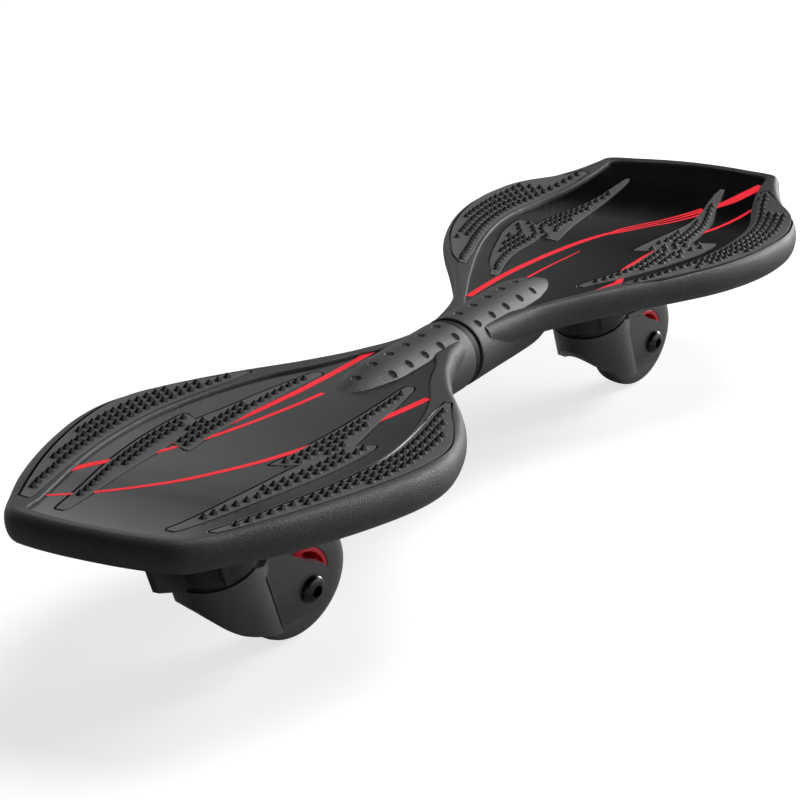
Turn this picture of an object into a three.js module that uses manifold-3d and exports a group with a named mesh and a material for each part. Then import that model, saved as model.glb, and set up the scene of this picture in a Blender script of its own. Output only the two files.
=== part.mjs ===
// Caster board: two foot decks joined by a twisting neck, each on one leaning, trailing caster.
// The nose points to -X, the tail to +X, and the wheels stand on the ground at z = 0.
import * as THREE from "three";
import { mergeVertices } from "three/addons/utils/BufferGeometryUtils.js";
import Module from "manifold-3d";

const wasm = await Module();
wasm.setup();

// Driving dimensions, in millimetres
const FRONT_LENGTH = 419; // from the neck's parting plane to the nose
const REAR_LENGTH = 442; // from the neck's parting plane to the tail
const FRONT_HALF_WIDTH = 113;
const REAR_HALF_WIDTH = 127;
const RIM_HEIGHT = 110.6; // mid-height of the deck rim above the ground
const FRONT_SWIVEL_AT = 295; // from the parting plane to the front swivel head
const REAR_SWIVEL_AT = 232;
const WHEEL_RADIUS = 38;
const WHEEL_WIDTH = 24;
const TRAIL = 42; // swivel axis to axle, square to the axis
const AXLE_DROP = 52; // swivel head top to axle, along the axis
const SWIVEL_HEAD_RADIUS = 28;
const BARREL_RADIUS = 23.5;
const NECK_AXIS_BELOW_RIM = 8.5;
const CLEARANCE = 0.3; // between pieces that seat on each other
const RUNNING_GAP = 1.2; // between pieces that turn past each other
const OVERRUN = 5; // how far a cutter runs past the face it cuts
const WELD = 0.001;

// Driving angles and counts
const CASTER_LEAN = THREE.MathUtils.degToRad(25.3);
const FRONT_SWIVEL_REST = THREE.MathUtils.degToRad(-17.6);
const REAR_SWIVEL_REST = THREE.MathUtils.degToRad(-13.2);
const ROUND = 24; // sides of a large turned piece
const SMALL_ROUND = 12; // sides of a small turned piece
const SCREW_ROUND = 8;
const SIDES = [
  ["left", -1],
  ["right", 1],
];

const partingX = (FRONT_LENGTH - REAR_LENGTH) / 2;
const neckZ = RIM_HEIGHT - NECK_AXIS_BELOW_RIM;

// Materials
function finish(color, roughness, metalness) {
  return new THREE.MeshStandardMaterial({ color, roughness, metalness });
}
const DECK_PLASTIC = finish(0x2b2c2d, 0.65, 0);
const GRIP_RUBBER = finish(0x242526, 0.8, 0);
const FORK_PLASTIC = finish(0x323334, 0.55, 0);
const RED_PLASTIC = finish(0xc8203a, 0.4, 0);
const BLACK_RUBBER = finish(0x141415, 0.7, 0);
const TYRE_RUBBER = finish(0x3a3b3c, 0.6, 0);
const STEEL = finish(0xa9acb0, 0.35, 1);
const BLACK_STEEL = finish(0x161617, 0.3, 0.8);
const BUSH_PLASTIC = finish(0xd8d8d0, 0.5, 0);

// Closed solids, joined and cut
function solid(geometry) {
  const bare = geometry.clone();
  bare.deleteAttribute("normal");
  bare.deleteAttribute("uv");
  const merged = mergeVertices(bare, WELD);
  return new wasm.Manifold(
    new wasm.Mesh({
      numProp: 3,
      vertProperties: merged.attributes.position.array,
      triVerts: new Uint32Array(merged.index.array),
    }),
  );
}
function joined(solids) {
  return solids.reduce((whole, next) => whole.add(next));
}
function cut(body, cutters) {
  return cutters.reduce((whole, next) => whole.subtract(next), body);
}
function meshOf(name, body, material) {
  const made = body.getMesh();
  const geometry = new THREE.BufferGeometry()
    .setAttribute("position", new THREE.BufferAttribute(new Float32Array(made.vertProperties), 3))
    .setIndex(new THREE.BufferAttribute(new Uint32Array(made.triVerts), 1));
  const mesh = new THREE.Mesh(geometry, material);
  mesh.name = name;
  return mesh;
}

function flipFaces(faces) {
  for (let i = 0; i < faces.length; i += 3) {
    [faces[i + 1], faces[i + 2]] = [faces[i + 2], faces[i + 1]];
  }
}

// A box from its two corners
function boxBetween(low, high) {
  const size = high.map((value, axis) => value - low[axis]);
  const middle = high.map((value, axis) => (value + low[axis]) / 2);
  return solid(new THREE.BoxGeometry(...size).translate(...middle));
}

// A turned solid about the local Z axis: the profile is a list of [radius, height], bottom first
function turned(profile, sides = ROUND) {
  const points = profile.map(([radius, height]) => new THREE.Vector2(radius, height));
  return solid(new THREE.LatheGeometry(points, sides).rotateX(Math.PI / 2));
}
function turnedRing(innerRadius, outerRadius, low, high, sides = SMALL_ROUND) {
  return turned(
    [
      [innerRadius, low],
      [outerRadius, low],
      [outerRadius, high],
      [innerRadius, high],
      [innerRadius, low],
    ],
    sides,
  );
}
function turnedRod(radius, low, high, sides = SMALL_ROUND) {
  return turned(
    [
      [0, low],
      [radius, low],
      [radius, high],
      [0, high],
    ],
    sides,
  );
}

// A hexagonal prism about Z, by its width across flats
const hexRadius = (acrossFlats) => acrossFlats / Math.sqrt(3);
function hexPrism(acrossFlats, low, high) {
  return turnedRod(hexRadius(acrossFlats), low, high, 6);
}

// A flat outline of [x, z] points, extruded across Y
function extrudedAcross(outline, halfWidth) {
  const shape = new THREE.Shape(outline.map(([x, z]) => new THREE.Vector2(x, z)));
  const geometry = new THREE.ExtrudeGeometry(shape, { depth: 2 * halfWidth, bevelEnabled: false });
  return solid(geometry.translate(0, 0, -halfWidth).rotateX(Math.PI / 2));
}

// Points along an arc about a centre, from one angle to another, in degrees
function arcPoints(centreX, centreZ, radius, from, to, steps) {
  return Array.from({ length: steps + 1 }, (_, i) => {
    const angle = THREE.MathUtils.degToRad(from + ((to - from) * i) / steps);
    return [centreX + radius * Math.cos(angle), centreZ + radius * Math.sin(angle)];
  });
}

// Rows of values, smoothed and resampled between the rows
function smoothRows(rows, stepsBetween) {
  const smooth = [];
  rows.slice(0, -1).forEach((row, i) => {
    const before = rows[Math.max(i - 1, 0)];
    const next = rows[i + 1];
    const after = rows[Math.min(i + 2, rows.length - 1)];
    for (let step = 0; step < stepsBetween; step++) {
      const t = step / stepsBetween;
      smooth.push(
        row.map((value, column) => {
          const tangent = (next[column] - before[column]) / 2;
          const nextTangent = (after[column] - value) / 2;
          return (
            value * (2 * t ** 3 - 3 * t ** 2 + 1) +
            next[column] * (3 * t ** 2 - 2 * t ** 3) +
            tangent * (t ** 3 - 2 * t ** 2 + t) +
            nextTangent * (t ** 3 - t ** 2)
          );
        }),
      );
    }
  });
  smooth.push(rows[rows.length - 1]);
  return smooth;
}
function readAt(rows, at, column) {
  const i = rows.findIndex((row) => row[0] >= at);
  if (i < 0) return rows[rows.length - 1][column];
  if (i === 0) return rows[0][column];
  const [low, high] = [rows[i - 1], rows[i]];
  return low[column] + ((high[column] - low[column]) * (at - low[0])) / (high[0] - low[0]);
}

// Deck outlines: rim edge, then dished pan edge, each as [share of length, share of half width].
// The rows run from inside the barrel, round the side, to the middle of the nose or tail.
const FRONT_OUTLINE_SHARES = [
  [0.05, 0.165, 0.05, 0.07],
  [0.08, 0.19, 0.08, 0.085],
  [0.11, 0.225, 0.11, 0.115],
  [0.14, 0.272, 0.142, 0.17],
  [0.181, 0.335, 0.181, 0.24],
  [0.227, 0.425, 0.22, 0.32],
  [0.277, 0.53, 0.262, 0.39],
  [0.337, 0.68, 0.33, 0.5],
  [0.394, 0.805, 0.405, 0.585],
  [0.465, 0.92, 0.477, 0.62],
  [0.549, 1, 0.554, 0.633],
  [0.625, 0.992, 0.625, 0.62],
  [0.711, 0.92, 0.711, 0.575],
  [0.792, 0.823, 0.802, 0.513],
  [0.864, 0.717, 0.878, 0.451],
  [0.926, 0.602, 0.918, 0.425],
  [0.964, 0.52, 0.945, 0.42],
  [0.985, 0.44, 0.957, 0.4],
  [0.994, 0.32, 0.964, 0.31],
  [0.999, 0.16, 0.97, 0.16],
  [1, 0, 0.972, 0],
];
const REAR_OUTLINE_SHARES = [
  [0.035, 0.145, 0.035, 0.06],
  [0.065, 0.165, 0.065, 0.075],
  [0.095, 0.19, 0.095, 0.095],
  [0.128, 0.225, 0.13, 0.135],
  [0.167, 0.271, 0.172, 0.197],
  [0.217, 0.346, 0.222, 0.268],
  [0.276, 0.457, 0.271, 0.339],
  [0.339, 0.583, 0.335, 0.425],
  [0.412, 0.732, 0.416, 0.528],
  [0.489, 0.866, 0.498, 0.614],
  [0.584, 0.97, 0.593, 0.677],
  [0.679, 1, 0.683, 0.685],
  [0.76, 0.937, 0.758, 0.654],
  [0.814, 0.827, 0.819, 0.591],
  [0.869, 0.709, 0.873, 0.543],
  [0.919, 0.63, 0.914, 0.52],
  [0.955, 0.583, 0.941, 0.508],
  [0.98, 0.504, 0.964, 0.472],
  [0.99, 0.346, 0.975, 0.331],
  [0.998, 0.173, 0.984, 0.173],
  [1, 0, 0.988, 0],
];

// Grip pads: blades of [share of length, inner edge, outer edge as shares of half width]
const FRONT_OUTER_PAD_SHARES = [
  [0.337, 0.585, 0.612],
  [0.375, 0.597, 0.69],
  [0.432, 0.637, 0.805],
  [0.496, 0.664, 0.903],
  [0.558, 0.66, 0.92],
  [0.625, 0.642, 0.903],
  [0.706, 0.593, 0.832],
  [0.785, 0.545, 0.739],
  [0.862, 0.5, 0.637],
  [0.924, 0.469, 0.513],
];
const FRONT_INNER_PAD_NOSE_SHARES = [
  [0.508, 0.575, 0.588],
  [0.523, 0.469, 0.588],
  [0.554, 0.434, 0.584],
  [0.616, 0.385, 0.566],
  [0.68, 0.367, 0.54],
  [0.716, 0.363, 0.518],
  [0.8, 0.323, 0.447],
  [0.864, 0.31, 0.389],
  [0.924, 0.292, 0.323],
];
const FRONT_INNER_PAD_NECK_SHARES = [
  [0.267, 0.27, 0.296],
  [0.282, 0.265, 0.327],
  [0.346, 0.265, 0.367],
  [0.413, 0.265, 0.407],
  [0.489, 0.265, 0.447],
  [0.535, 0.265, 0.469],
  [0.585, 0.257, 0.425],
  [0.635, 0.239, 0.363],
  [0.649, 0.235, 0.248],
];
const REAR_OUTER_PAD_SHARES = [
  [0.333, 0.465, 0.504],
  [0.367, 0.504, 0.598],
  [0.416, 0.551, 0.693],
  [0.493, 0.63, 0.819],
  [0.584, 0.693, 0.913],
  [0.683, 0.709, 0.953],
  [0.756, 0.677, 0.909],
  [0.796, 0.646, 0.843],
  [0.844, 0.598, 0.724],
  [0.894, 0.563, 0.598],
];
const REAR_INNER_PAD_TAIL_SHARES = [
  [0.534, 0.22, 0.236],
  [0.55, 0.232, 0.346],
  [0.579, 0.256, 0.409],
  [0.613, 0.276, 0.472],
  [0.679, 0.291, 0.449],
  [0.751, 0.303, 0.417],
  [0.824, 0.307, 0.378],
  [0.9, 0.311, 0.331],
];
const REAR_INNER_PAD_NECK_SHARES = [
  [0.314, 0.244, 0.268],
  [0.339, 0.26, 0.319],
  [0.38, 0.299, 0.394],
  [0.446, 0.343, 0.48],
  [0.509, 0.346, 0.547],
  [0.552, 0.35, 0.591],
  [0.584, 0.409, 0.609],
  [0.613, 0.472, 0.617],
  [0.631, 0.591, 0.614],
];

// Deck section sizes
const RIM_REACH = 20; // from the rim's edge to where it has rounded into the land
const RIM_DROP = 12; // lip of the skirt below mid-height
const LAND_RISE = 7; // inner edge of the land above mid-height
const LAND_SLOPE = 0.07;
const PAN_RISE = 5.2; // floor of the dished pan above mid-height
const PAN_STEP_RUN = 1;
const PLATE_THICKNESS = 4;
const LEVEL_LENGTH = 200; // the pan is level up to here, then curls up
const NOSE_RISE = 8.2;
const TAIL_RISE = 19;
const ROWS_BETWEEN = 2;
const RIM_TOP_SHARES = [
  [0, 0],
  [0.05, 0.45],
  [0.19, 0.84],
  [0.45, 1],
];
const SKIRT_SHARES = [
  [0.05, -0.5],
  [0.2, -0.92],
  [0.42, -1],
  [0.54, -0.6],
];
const SKIRT_INSIDE_SHARE = 0.7;
const SMALLEST_RIM_SHARE = 0.5;

// Fairing and spine: the barrel runs on over the pan and dies into it, as [share, share of radius]
const FAIRING_REACH = 166;
const REAR_FAIRING_REACH = 157;
const FAIRING_SHARES = [
  [0.6, 1],
  [0.7, 0.93],
  [0.78, 0.85],
  [0.86, 0.72],
  [0.94, 0.58],
  [1, 0.35],
];

// Neck sizes, as distances from the parting plane unless named otherwise
const RING_WIDTH = 8.5;
const RING_RADIUS = 22.3;
const TUBE_RADIUS = 12.7;
const TUBE_BORE = 10.5;
const TUBE_FRONT_REACH = 92;
const TUBE_REAR_REACH = 72;
const BUSH_RADIUS = 16;
const BUSH_LENGTH = 16;
const BUSH_FLANGE_RADIUS = 19;
const BUSH_FLANGE = 2;
const OUTER_BUSH_INSET = 2;
const TORSION_BAR_RADIUS = 4.5;
const TORSION_BAR_SEAT = 9;
const ANCHOR_LENGTH = 20;
const CROSS_BOLT_RADIUS = 3;
const CROSS_BOLT_HEAD_RADIUS = 5.5;
const CROSS_BOLT_HEAD_HEIGHT = 4;
const CROSS_BOLT_INSET = 6; // from the anchor's far end
const CROSS_BOLT_SOCKET_FLATS = 4;
const CROSS_BOLT_SOCKET_DEPTH = 2.5;
const rearAnchorStart = TUBE_REAR_REACH + RUNNING_GAP;
const rearAnchorEnd = rearAnchorStart + ANCHOR_LENGTH;
const frontAnchorStart = TUBE_FRONT_REACH - ANCHOR_LENGTH;

// The two decks
const FRONT = {
  name: "front",
  side: -1,
  barrelStart: RING_WIDTH + CLEARANCE,
  crossBoltAt: TUBE_FRONT_REACH - CROSS_BOLT_INSET,
  length: FRONT_LENGTH,
  halfWidth: FRONT_HALF_WIDTH,
  outlineShares: FRONT_OUTLINE_SHARES,
  endRise: NOSE_RISE,
  fairingReach: FAIRING_REACH,
  swivelAt: FRONT_SWIVEL_AT,
  swivelRest: FRONT_SWIVEL_REST,
  pads: {
    outer: [FRONT_OUTER_PAD_SHARES],
    inner: [FRONT_INNER_PAD_NOSE_SHARES, FRONT_INNER_PAD_NECK_SHARES],
  },
};
const REAR = {
  name: "rear",
  side: 1,
  barrelStart: RUNNING_GAP,
  crossBoltAt: rearAnchorEnd - CROSS_BOLT_INSET,
  length: REAR_LENGTH,
  halfWidth: REAR_HALF_WIDTH,
  outlineShares: REAR_OUTLINE_SHARES,
  endRise: TAIL_RISE,
  fairingReach: REAR_FAIRING_REACH,
  swivelAt: REAR_SWIVEL_AT,
  swivelRest: REAR_SWIVEL_REST,
  pads: {
    outer: [REAR_OUTER_PAD_SHARES],
    inner: [REAR_INNER_PAD_TAIL_SHARES, REAR_INNER_PAD_NECK_SHARES],
  },
};

// Heights over a deck: u runs from the parting plane to the nose or tail, w from the middle out
const boardX = (deck, u) => partingX + deck.side * u;
function curl(deck, u) {
  const past = Math.max(0, u - LEVEL_LENGTH) / (deck.length - LEVEL_LENGTH);
  return deck.endRise * past ** 2;
}
for (const deck of [FRONT, REAR]) {
  const rows = deck.outlineShares.map(([uRim, wRim, uPan, wPan]) => [
    uRim * deck.length,
    wRim * deck.halfWidth,
    uPan * deck.length,
    wPan * deck.halfWidth,
  ]);
  deck.outlineRows = rows;
  deck.stations = smoothRows(rows, ROWS_BETWEEN);
  deck.panRows = deck.stations.map(([, , uPan, wPan]) => [uPan, wPan]);
}
function topHeight(deck, u, w) {
  const beyondPan = Math.max(0, w - readAt(deck.panRows, u, 1));
  const level = beyondPan > 0 ? LAND_RISE + LAND_SLOPE * beyondPan : PAN_RISE;
  return RIM_HEIGHT + curl(deck, u) + level;
}

// A deck-shaped body: for each station its upper points, then its lower points, outside first.
// Each point is [distance in from the rim, height over the rim's mid-height].
function deckLoft(deck, upperOf, lowerOf) {
  const half = deck.stations.map(([uRim, wRim, uPan, wPan]) => {
    const reach = Math.hypot(uPan - uRim, wPan - wRim);
    const at = ([inward, height]) => {
      const u = uRim + ((uPan - uRim) * inward) / reach;
      const w = wRim + ((wPan - wRim) * inward) / reach;
      return [u, Math.max(0, w), height + curl(deck, u)];
    };
    return { upper: upperOf(reach).map(at), lower: lowerOf(reach).map(at) };
  });
  const near = half.map(({ upper, lower }) => [...upper, ...lower].map(([u, w, h]) => [u, -w, h]));
  const far = half.slice(0, -1).reverse();
  const loop = [...near, ...far.map(({ upper, lower }) => [...upper, ...lower])];
  const upperCount = half[0].upper.length;
  const ringCount = loop[0].length;
  const positions = loop.flatMap((ring) =>
    ring.flatMap(([u, w, h]) => [boardX(deck, u), w, RIM_HEIGHT + h]),
  );
  const index = (station, ring) => station * ringCount + ring;
  const faces = [];
  const quad = (a, b, c, d) => faces.push(a, b, c, a, c, d);
  const last = loop.length - 1;
  const lowerEnd = ringCount - 1;
  for (let i = 0; i < last; i++) {
    for (let k = 0; k < upperCount - 1; k++) {
      quad(index(i, k), index(i + 1, k), index(i + 1, k + 1), index(i, k + 1));
    }
    for (let k = upperCount; k < lowerEnd; k++) {
      quad(index(i, k), index(i, k + 1), index(i + 1, k + 1), index(i + 1, k));
    }
    quad(index(i, upperCount), index(i + 1, upperCount), index(i + 1, 0), index(i, 0));
  }
  const middle = (loop.length - 1) / 2;
  for (let i = 0; i < middle; i++) {
    const top = [index(i, upperCount - 1), index(i + 1, upperCount - 1)];
    const topFar = [index(last - i, upperCount - 1), index(last - i - 1, upperCount - 1)];
    const low = [index(i, lowerEnd), index(i + 1, lowerEnd)];
    const lowFar = [index(last - i, lowerEnd), index(last - i - 1, lowerEnd)];
    if (i === middle - 1) {
      faces.push(top[0], top[1], topFar[0]);
      faces.push(low[0], lowFar[0], low[1]);
    } else {
      quad(top[0], top[1], topFar[1], topFar[0]);
      quad(low[0], lowFar[0], lowFar[1], low[1]);
    }
  }
  const endRing = (station) => {
    const upper = Array.from({ length: upperCount }, (_, k) => index(station, k));
    const lower = Array.from({ length: ringCount - upperCount }, (_, k) =>
      index(station, upperCount + k),
    );
    return [...lower.reverse(), ...upper];
  };
  const mouth = [...endRing(0), ...endRing(last).reverse()];
  const flat = mouth.map((v) => new THREE.Vector2(positions[3 * v + 1], positions[3 * v + 2]));
  THREE.ShapeUtils.triangulateShape(flat, []).forEach(([a, b, c]) => {
    const facesNeck = THREE.ShapeUtils.area([flat[a], flat[b], flat[c]]) < 0;
    faces.push(mouth[a], ...(facesNeck ? [mouth[b], mouth[c]] : [mouth[c], mouth[b]]));
  });
  if (deck.side < 0) {
    flipFaces(faces);
  }
  const geometry = new THREE.BufferGeometry()
    .setAttribute("position", new THREE.Float32BufferAttribute(positions, 3))
    .setIndex(faces);
  return solid(geometry);
}
const rimShare = (reach) => Math.max(SMALLEST_RIM_SHARE, Math.min(1, reach / RIM_REACH));
function rimTop(reach) {
  const scale = rimShare(reach) * RIM_REACH;
  const rim = RIM_TOP_SHARES.map(([inward, share]) => {
    const distance = Math.min(inward * scale, inward * reach);
    return [distance, share * (LAND_RISE + LAND_SLOPE * (reach - distance))];
  });
  return [...rim, [reach, LAND_RISE], [reach + PAN_STEP_RUN, PAN_RISE]];
}
function skirt(reach) {
  const scale = rimShare(reach) * RIM_REACH;
  const plateUnder = PAN_RISE - PLATE_THICKNESS;
  const points = SKIRT_SHARES.map(([inward, share]) => [inward * scale, share * RIM_DROP]);
  return [...points, [SKIRT_INSIDE_SHARE * scale, plateUnder]];
}

// Ribs under the pan, held inside the skirt
const RIB_THICKNESS = 3;
const RIB_DEPTH = 9;
const RIB_SINK = 2; // how far a rib runs up into the plate
const RIB_ROOM_SHARE = 0.5;
const NECK_BLOCK_REACH = 95; // the moulding is solid beside the barrel up to here
const LONG_RIB_SHARES = [0.34, 0.62];
const CROSS_RIB_SHARES = [0.34, 0.47, 0.6, 0.73, 0.86];
function ribs(deck) {
  const inside = (reach) => RIB_ROOM_SHARE * rimShare(reach) * RIM_REACH;
  const room = deckLoft(
    { ...deck, stations: deck.outlineRows },
    (reach) => [[inside(reach), PAN_RISE - RIB_SINK]],
    (reach) => [[inside(reach), PAN_RISE - PLATE_THICKNESS - RIB_DEPTH]],
  );
  const low = RIM_HEIGHT - RIM_DROP - OVERRUN;
  const high = RIM_HEIGHT + deck.endRise + PAN_RISE + OVERRUN;
  const along = LONG_RIB_SHARES.flatMap((share) => [-share, share]).map((share) => {
    const middle = share * deck.halfWidth;
    const ends = [boardX(deck, 0), boardX(deck, deck.length)].sort((a, b) => a - b);
    return boxBetween(
      [ends[0], middle - RIB_THICKNESS / 2, low],
      [ends[1], middle + RIB_THICKNESS / 2, high],
    );
  });
  const across = CROSS_RIB_SHARES.map((share) => {
    const middle = boardX(deck, share * deck.length);
    return boxBetween(
      [middle - RIB_THICKNESS / 2, -deck.halfWidth, low],
      [middle + RIB_THICKNESS / 2, deck.halfWidth, high],
    );
  });
  const neckEnds = [boardX(deck, 0), boardX(deck, NECK_BLOCK_REACH)].sort((a, b) => a - b);
  const neckBlock = boxBetween(
    [neckEnds[0], -deck.halfWidth, low],
    [neckEnds[1], deck.halfWidth, high],
  );
  return joined([...along, ...across, neckBlock]).intersect(room);
}

// The frame of a swivel head: its origin lies on the axis at the top of the fork's head
const axleUp = (rest) => -Math.sin(CASTER_LEAN) * Math.sin(rest);
const TYRE_SECTION_SHARES = [
  [0.815, 0.96],
  [0.935, 0.84],
  [0.985, 0.5],
  [1, 0],
];
function wheelCentreHeight(rest) {
  const tilt = Math.abs(axleUp(rest));
  const upright = Math.sqrt(1 - tilt ** 2);
  return Math.max(
    ...TYRE_SECTION_SHARES.map(
      ([radiusShare, widthShare]) =>
        radiusShare * WHEEL_RADIUS * upright + (widthShare * WHEEL_WIDTH * tilt) / 2,
    ),
  );
}
function swivelOrigin(deck) {
  const [sin, cos] = [Math.sin(CASTER_LEAN), Math.cos(CASTER_LEAN)];
  const axle = [
    TRAIL * cos * Math.cos(deck.swivelRest) + AXLE_DROP * sin,
    TRAIL * sin * Math.cos(deck.swivelRest) - AXLE_DROP * cos,
  ];
  return [boardX(deck, deck.swivelAt), 0, wheelCentreHeight(deck.swivelRest) - axle[1]];
}
const leanDegrees = THREE.MathUtils.radToDeg(CASTER_LEAN);
function onSwivelAxis(deck, body) {
  return body.rotate([0, -leanDegrees, 0]).translate(swivelOrigin(deck));
}

// Swivel stack, bottom to top along the axis, from the fork's head at zero
const BASE_PLATE_THICKNESS = 4;
const BASE_PLATE_RADIUS = 28;
const BOSS_RADIUS = 29;
const RACE_RADIUS = 21.5;
const RACE_BORE = 8;
const RACE_THICKNESS = 2.6;
const BALL_RING_THICKNESS = 3;
const HEAD_THICKNESS = 17;
const KINGPIN_RADIUS = 5;
const KINGPIN_HEAD_FLATS = 15;
const KINGPIN_HEAD_HEIGHT = 6;
const KINGPIN_NUT_FLATS = 15;
const KINGPIN_NUT_HEIGHT = 7;
const KINGPIN_TAIL = 1.5;
const PLATE_SCREW_CIRCLE = 20.5;
const PLATE_SCREW_RADIUS = 2.4;
const PLATE_SCREW_HEAD_RADIUS = 4.6;
const PLATE_SCREW_LENGTH = 18;
const PLATE_SCREW_ANGLES = [45, 135, 225, 315];
const plateLow = RUNNING_GAP;
const plateHigh = plateLow + BASE_PLATE_THICKNESS;
const bossFace = plateHigh + CLEARANCE;
const upperRaceHigh = plateLow - CLEARANCE;
const upperRaceLow = upperRaceHigh - RACE_THICKNESS;
const ballRingHigh = upperRaceLow - CLEARANCE;
const ballRingLow = ballRingHigh - BALL_RING_THICKNESS;
const lowerRaceHigh = ballRingLow - CLEARANCE;
const lowerRaceLow = lowerRaceHigh - RACE_THICKNESS;
const raceSeat = lowerRaceLow - CLEARANCE;
function atScrews(body) {
  const placed = body.translate([PLATE_SCREW_CIRCLE, 0, 0]);
  return PLATE_SCREW_ANGLES.map((angle) => placed.rotate([0, 0, angle]));
}

// Boss and gussets that carry the caster, and the spine that ties the boss to the barrel
const GUSSET_COUNT = 6;
const GUSSET_REACH = 24;
const GUSSET_FOOT_SHARE = 0.25; // where a gusset's outer end starts, of the post's length
const BOSS_TOP_ABOVE_RIM = 3.4;
const SPINE_HALF_WIDTH = 15;
const SPINE_START = 120;
function casterBoss(deck) {
  const reach = RIM_DROP + BOSS_RADIUS * Math.tan(CASTER_LEAN) + RIM_HEIGHT;
  const post = turnedRod(BOSS_RADIUS, bossFace, reach, ROUND);
  const gussets = Array.from({ length: GUSSET_COUNT }, (_, i) => {
    const outline = [
      [0, bossFace + RIB_DEPTH / 2],
      [BOSS_RADIUS, bossFace + RIB_DEPTH / 2],
      [BOSS_RADIUS + GUSSET_REACH, reach * GUSSET_FOOT_SHARE],
      [BOSS_RADIUS + GUSSET_REACH, reach],
      [0, reach],
    ];
    const turn = (360 * (i + 1 / 2)) / GUSSET_COUNT;
    return extrudedAcross(outline, RIB_THICKNESS / 2).rotate([0, 0, turn]);
  });
  const body = onSwivelAxis(deck, joined([post, ...gussets]));
  const lid = RIM_HEIGHT + BOSS_TOP_ABOVE_RIM + curl(deck, deck.swivelAt) / 2;
  const above = boxBetween(
    [boardX(deck, 0) - deck.length, -deck.halfWidth, lid],
    [boardX(deck, 0) + deck.length, deck.halfWidth, lid + reach + reach],
  );
  return body.subtract(above);
}
function spine(deck) {
  const ends = [boardX(deck, SPINE_START), boardX(deck, deck.swivelAt)].sort((a, b) => a - b);
  return boxBetween(
    [ends[0], -SPINE_HALF_WIDTH, neckZ - BARREL_RADIUS / 2],
    [ends[1], SPINE_HALF_WIDTH, RIM_HEIGHT + BOSS_TOP_ABOVE_RIM],
  );
}
function onNeck(deck, body) {
  return body.rotate([0, 90 * deck.side, 0]).translate([partingX, 0, neckZ]);
}
function fairingRadius(deck, u) {
  const rows = FAIRING_SHARES.map(([along, share]) => [
    along * deck.fairingReach,
    share * BARREL_RADIUS,
  ]);
  return readAt(rows, u, 1);
}
function barrel(deck) {
  const profile = [
    [0, deck.barrelStart],
    [BARREL_RADIUS - RUNNING_GAP, deck.barrelStart],
    [BARREL_RADIUS, deck.barrelStart + RUNNING_GAP],
    ...FAIRING_SHARES.map(([along, share]) => [share * BARREL_RADIUS, along * deck.fairingReach]),
    [0, deck.fairingReach],
  ];
  return onNeck(deck, turned(profile));
}

// Dimples: small scoops along the top and both shoulders of each barrel
const DIMPLE_PITCH = 21.6;
const DIMPLE_MARGIN = 11.5; // from the barrel's end to the first one
const DIMPLE_RADIUS = 6;
const DIMPLE_DEPTH = 1.8;
const DIMPLE_SIDES = 8;
const DIMPLE_RINGS = 4;
const DIMPLE_ROW_ANGLE = 36;
const DIMPLE_ROWS = [
  { angle: 0, count: 6 },
  { angle: DIMPLE_ROW_ANGLE, count: 5 },
  { angle: -DIMPLE_ROW_ANGLE, count: 5 },
];
function dimples(deck) {
  const scoop = solid(
    new THREE.SphereGeometry(DIMPLE_RADIUS, DIMPLE_SIDES, DIMPLE_RINGS).rotateX(Math.PI / 2),
  );
  return DIMPLE_ROWS.flatMap(({ angle, count }) =>
    Array.from({ length: count }, (_, i) => {
      const u = deck.barrelStart + DIMPLE_MARGIN + i * DIMPLE_PITCH;
      return scoop
        .translate([0, 0, fairingRadius(deck, u) + DIMPLE_RADIUS - DIMPLE_DEPTH])
        .rotate([angle, 0, 0])
        .translate([boardX(deck, u), 0, neckZ]);
    }),
  );
}

// Grip pads: blades that follow the deck's top, seated in shallow pockets
const PAD_PROUD = { outer: 0.2, inner: 0.3 };
const PAD_SUNK = 1.3;
const POCKET_DEPTH = PAD_SUNK + CLEARANCE;
const PAD_ROWS_BETWEEN = 1;
function blade(deck, shares, sideY, grow, above, below) {
  const rows = smoothRows(
    shares.map(([u, wIn, wOut]) => [u * deck.length, wIn * deck.halfWidth, wOut * deck.halfWidth]),
    PAD_ROWS_BETWEEN,
  ).map((row) => [...row]);
  rows[0][0] -= grow;
  rows[rows.length - 1][0] += grow;
  const positions = rows.flatMap(([u, wIn, wOut]) =>
    [
      [wIn - grow, -below],
      [wOut + grow, -below],
      [wOut + grow, above],
      [wIn - grow, above],
    ].flatMap(([w, lift]) => [boardX(deck, u), sideY * w, topHeight(deck, u, w) + lift]),
  );
  const faces = [];
  const quad = (a, b, c, d) => faces.push(a, b, c, a, c, d);
  rows.slice(0, -1).forEach((_, i) => {
    for (let k = 0; k < 4; k++) {
      const next = (k + 1) % 4;
      quad(4 * i + k, 4 * i + next, 4 * i + 4 + next, 4 * i + 4 + k);
    }
  });
  const end = 4 * (rows.length - 1);
  quad(0, 3, 2, 1);
  quad(end, end + 1, end + 2, end + 3);
  if (deck.side * sideY < 0) {
    flipFaces(faces);
  }
  return solid(
    new THREE.BufferGeometry()
      .setAttribute("position", new THREE.Float32BufferAttribute(positions, 3))
      .setIndex(faces),
  );
}
function pad(deck, place, sideY) {
  return joined(
    deck.pads[place].map((shares) => blade(deck, shares, sideY, 0, PAD_PROUD[place], PAD_SUNK)),
  );
}
function padPocket(deck, place, sideY) {
  return joined(
    deck.pads[place].map((shares) => blade(deck, shares, sideY, CLEARANCE, OVERRUN, POCKET_DEPTH)),
  );
}

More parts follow.
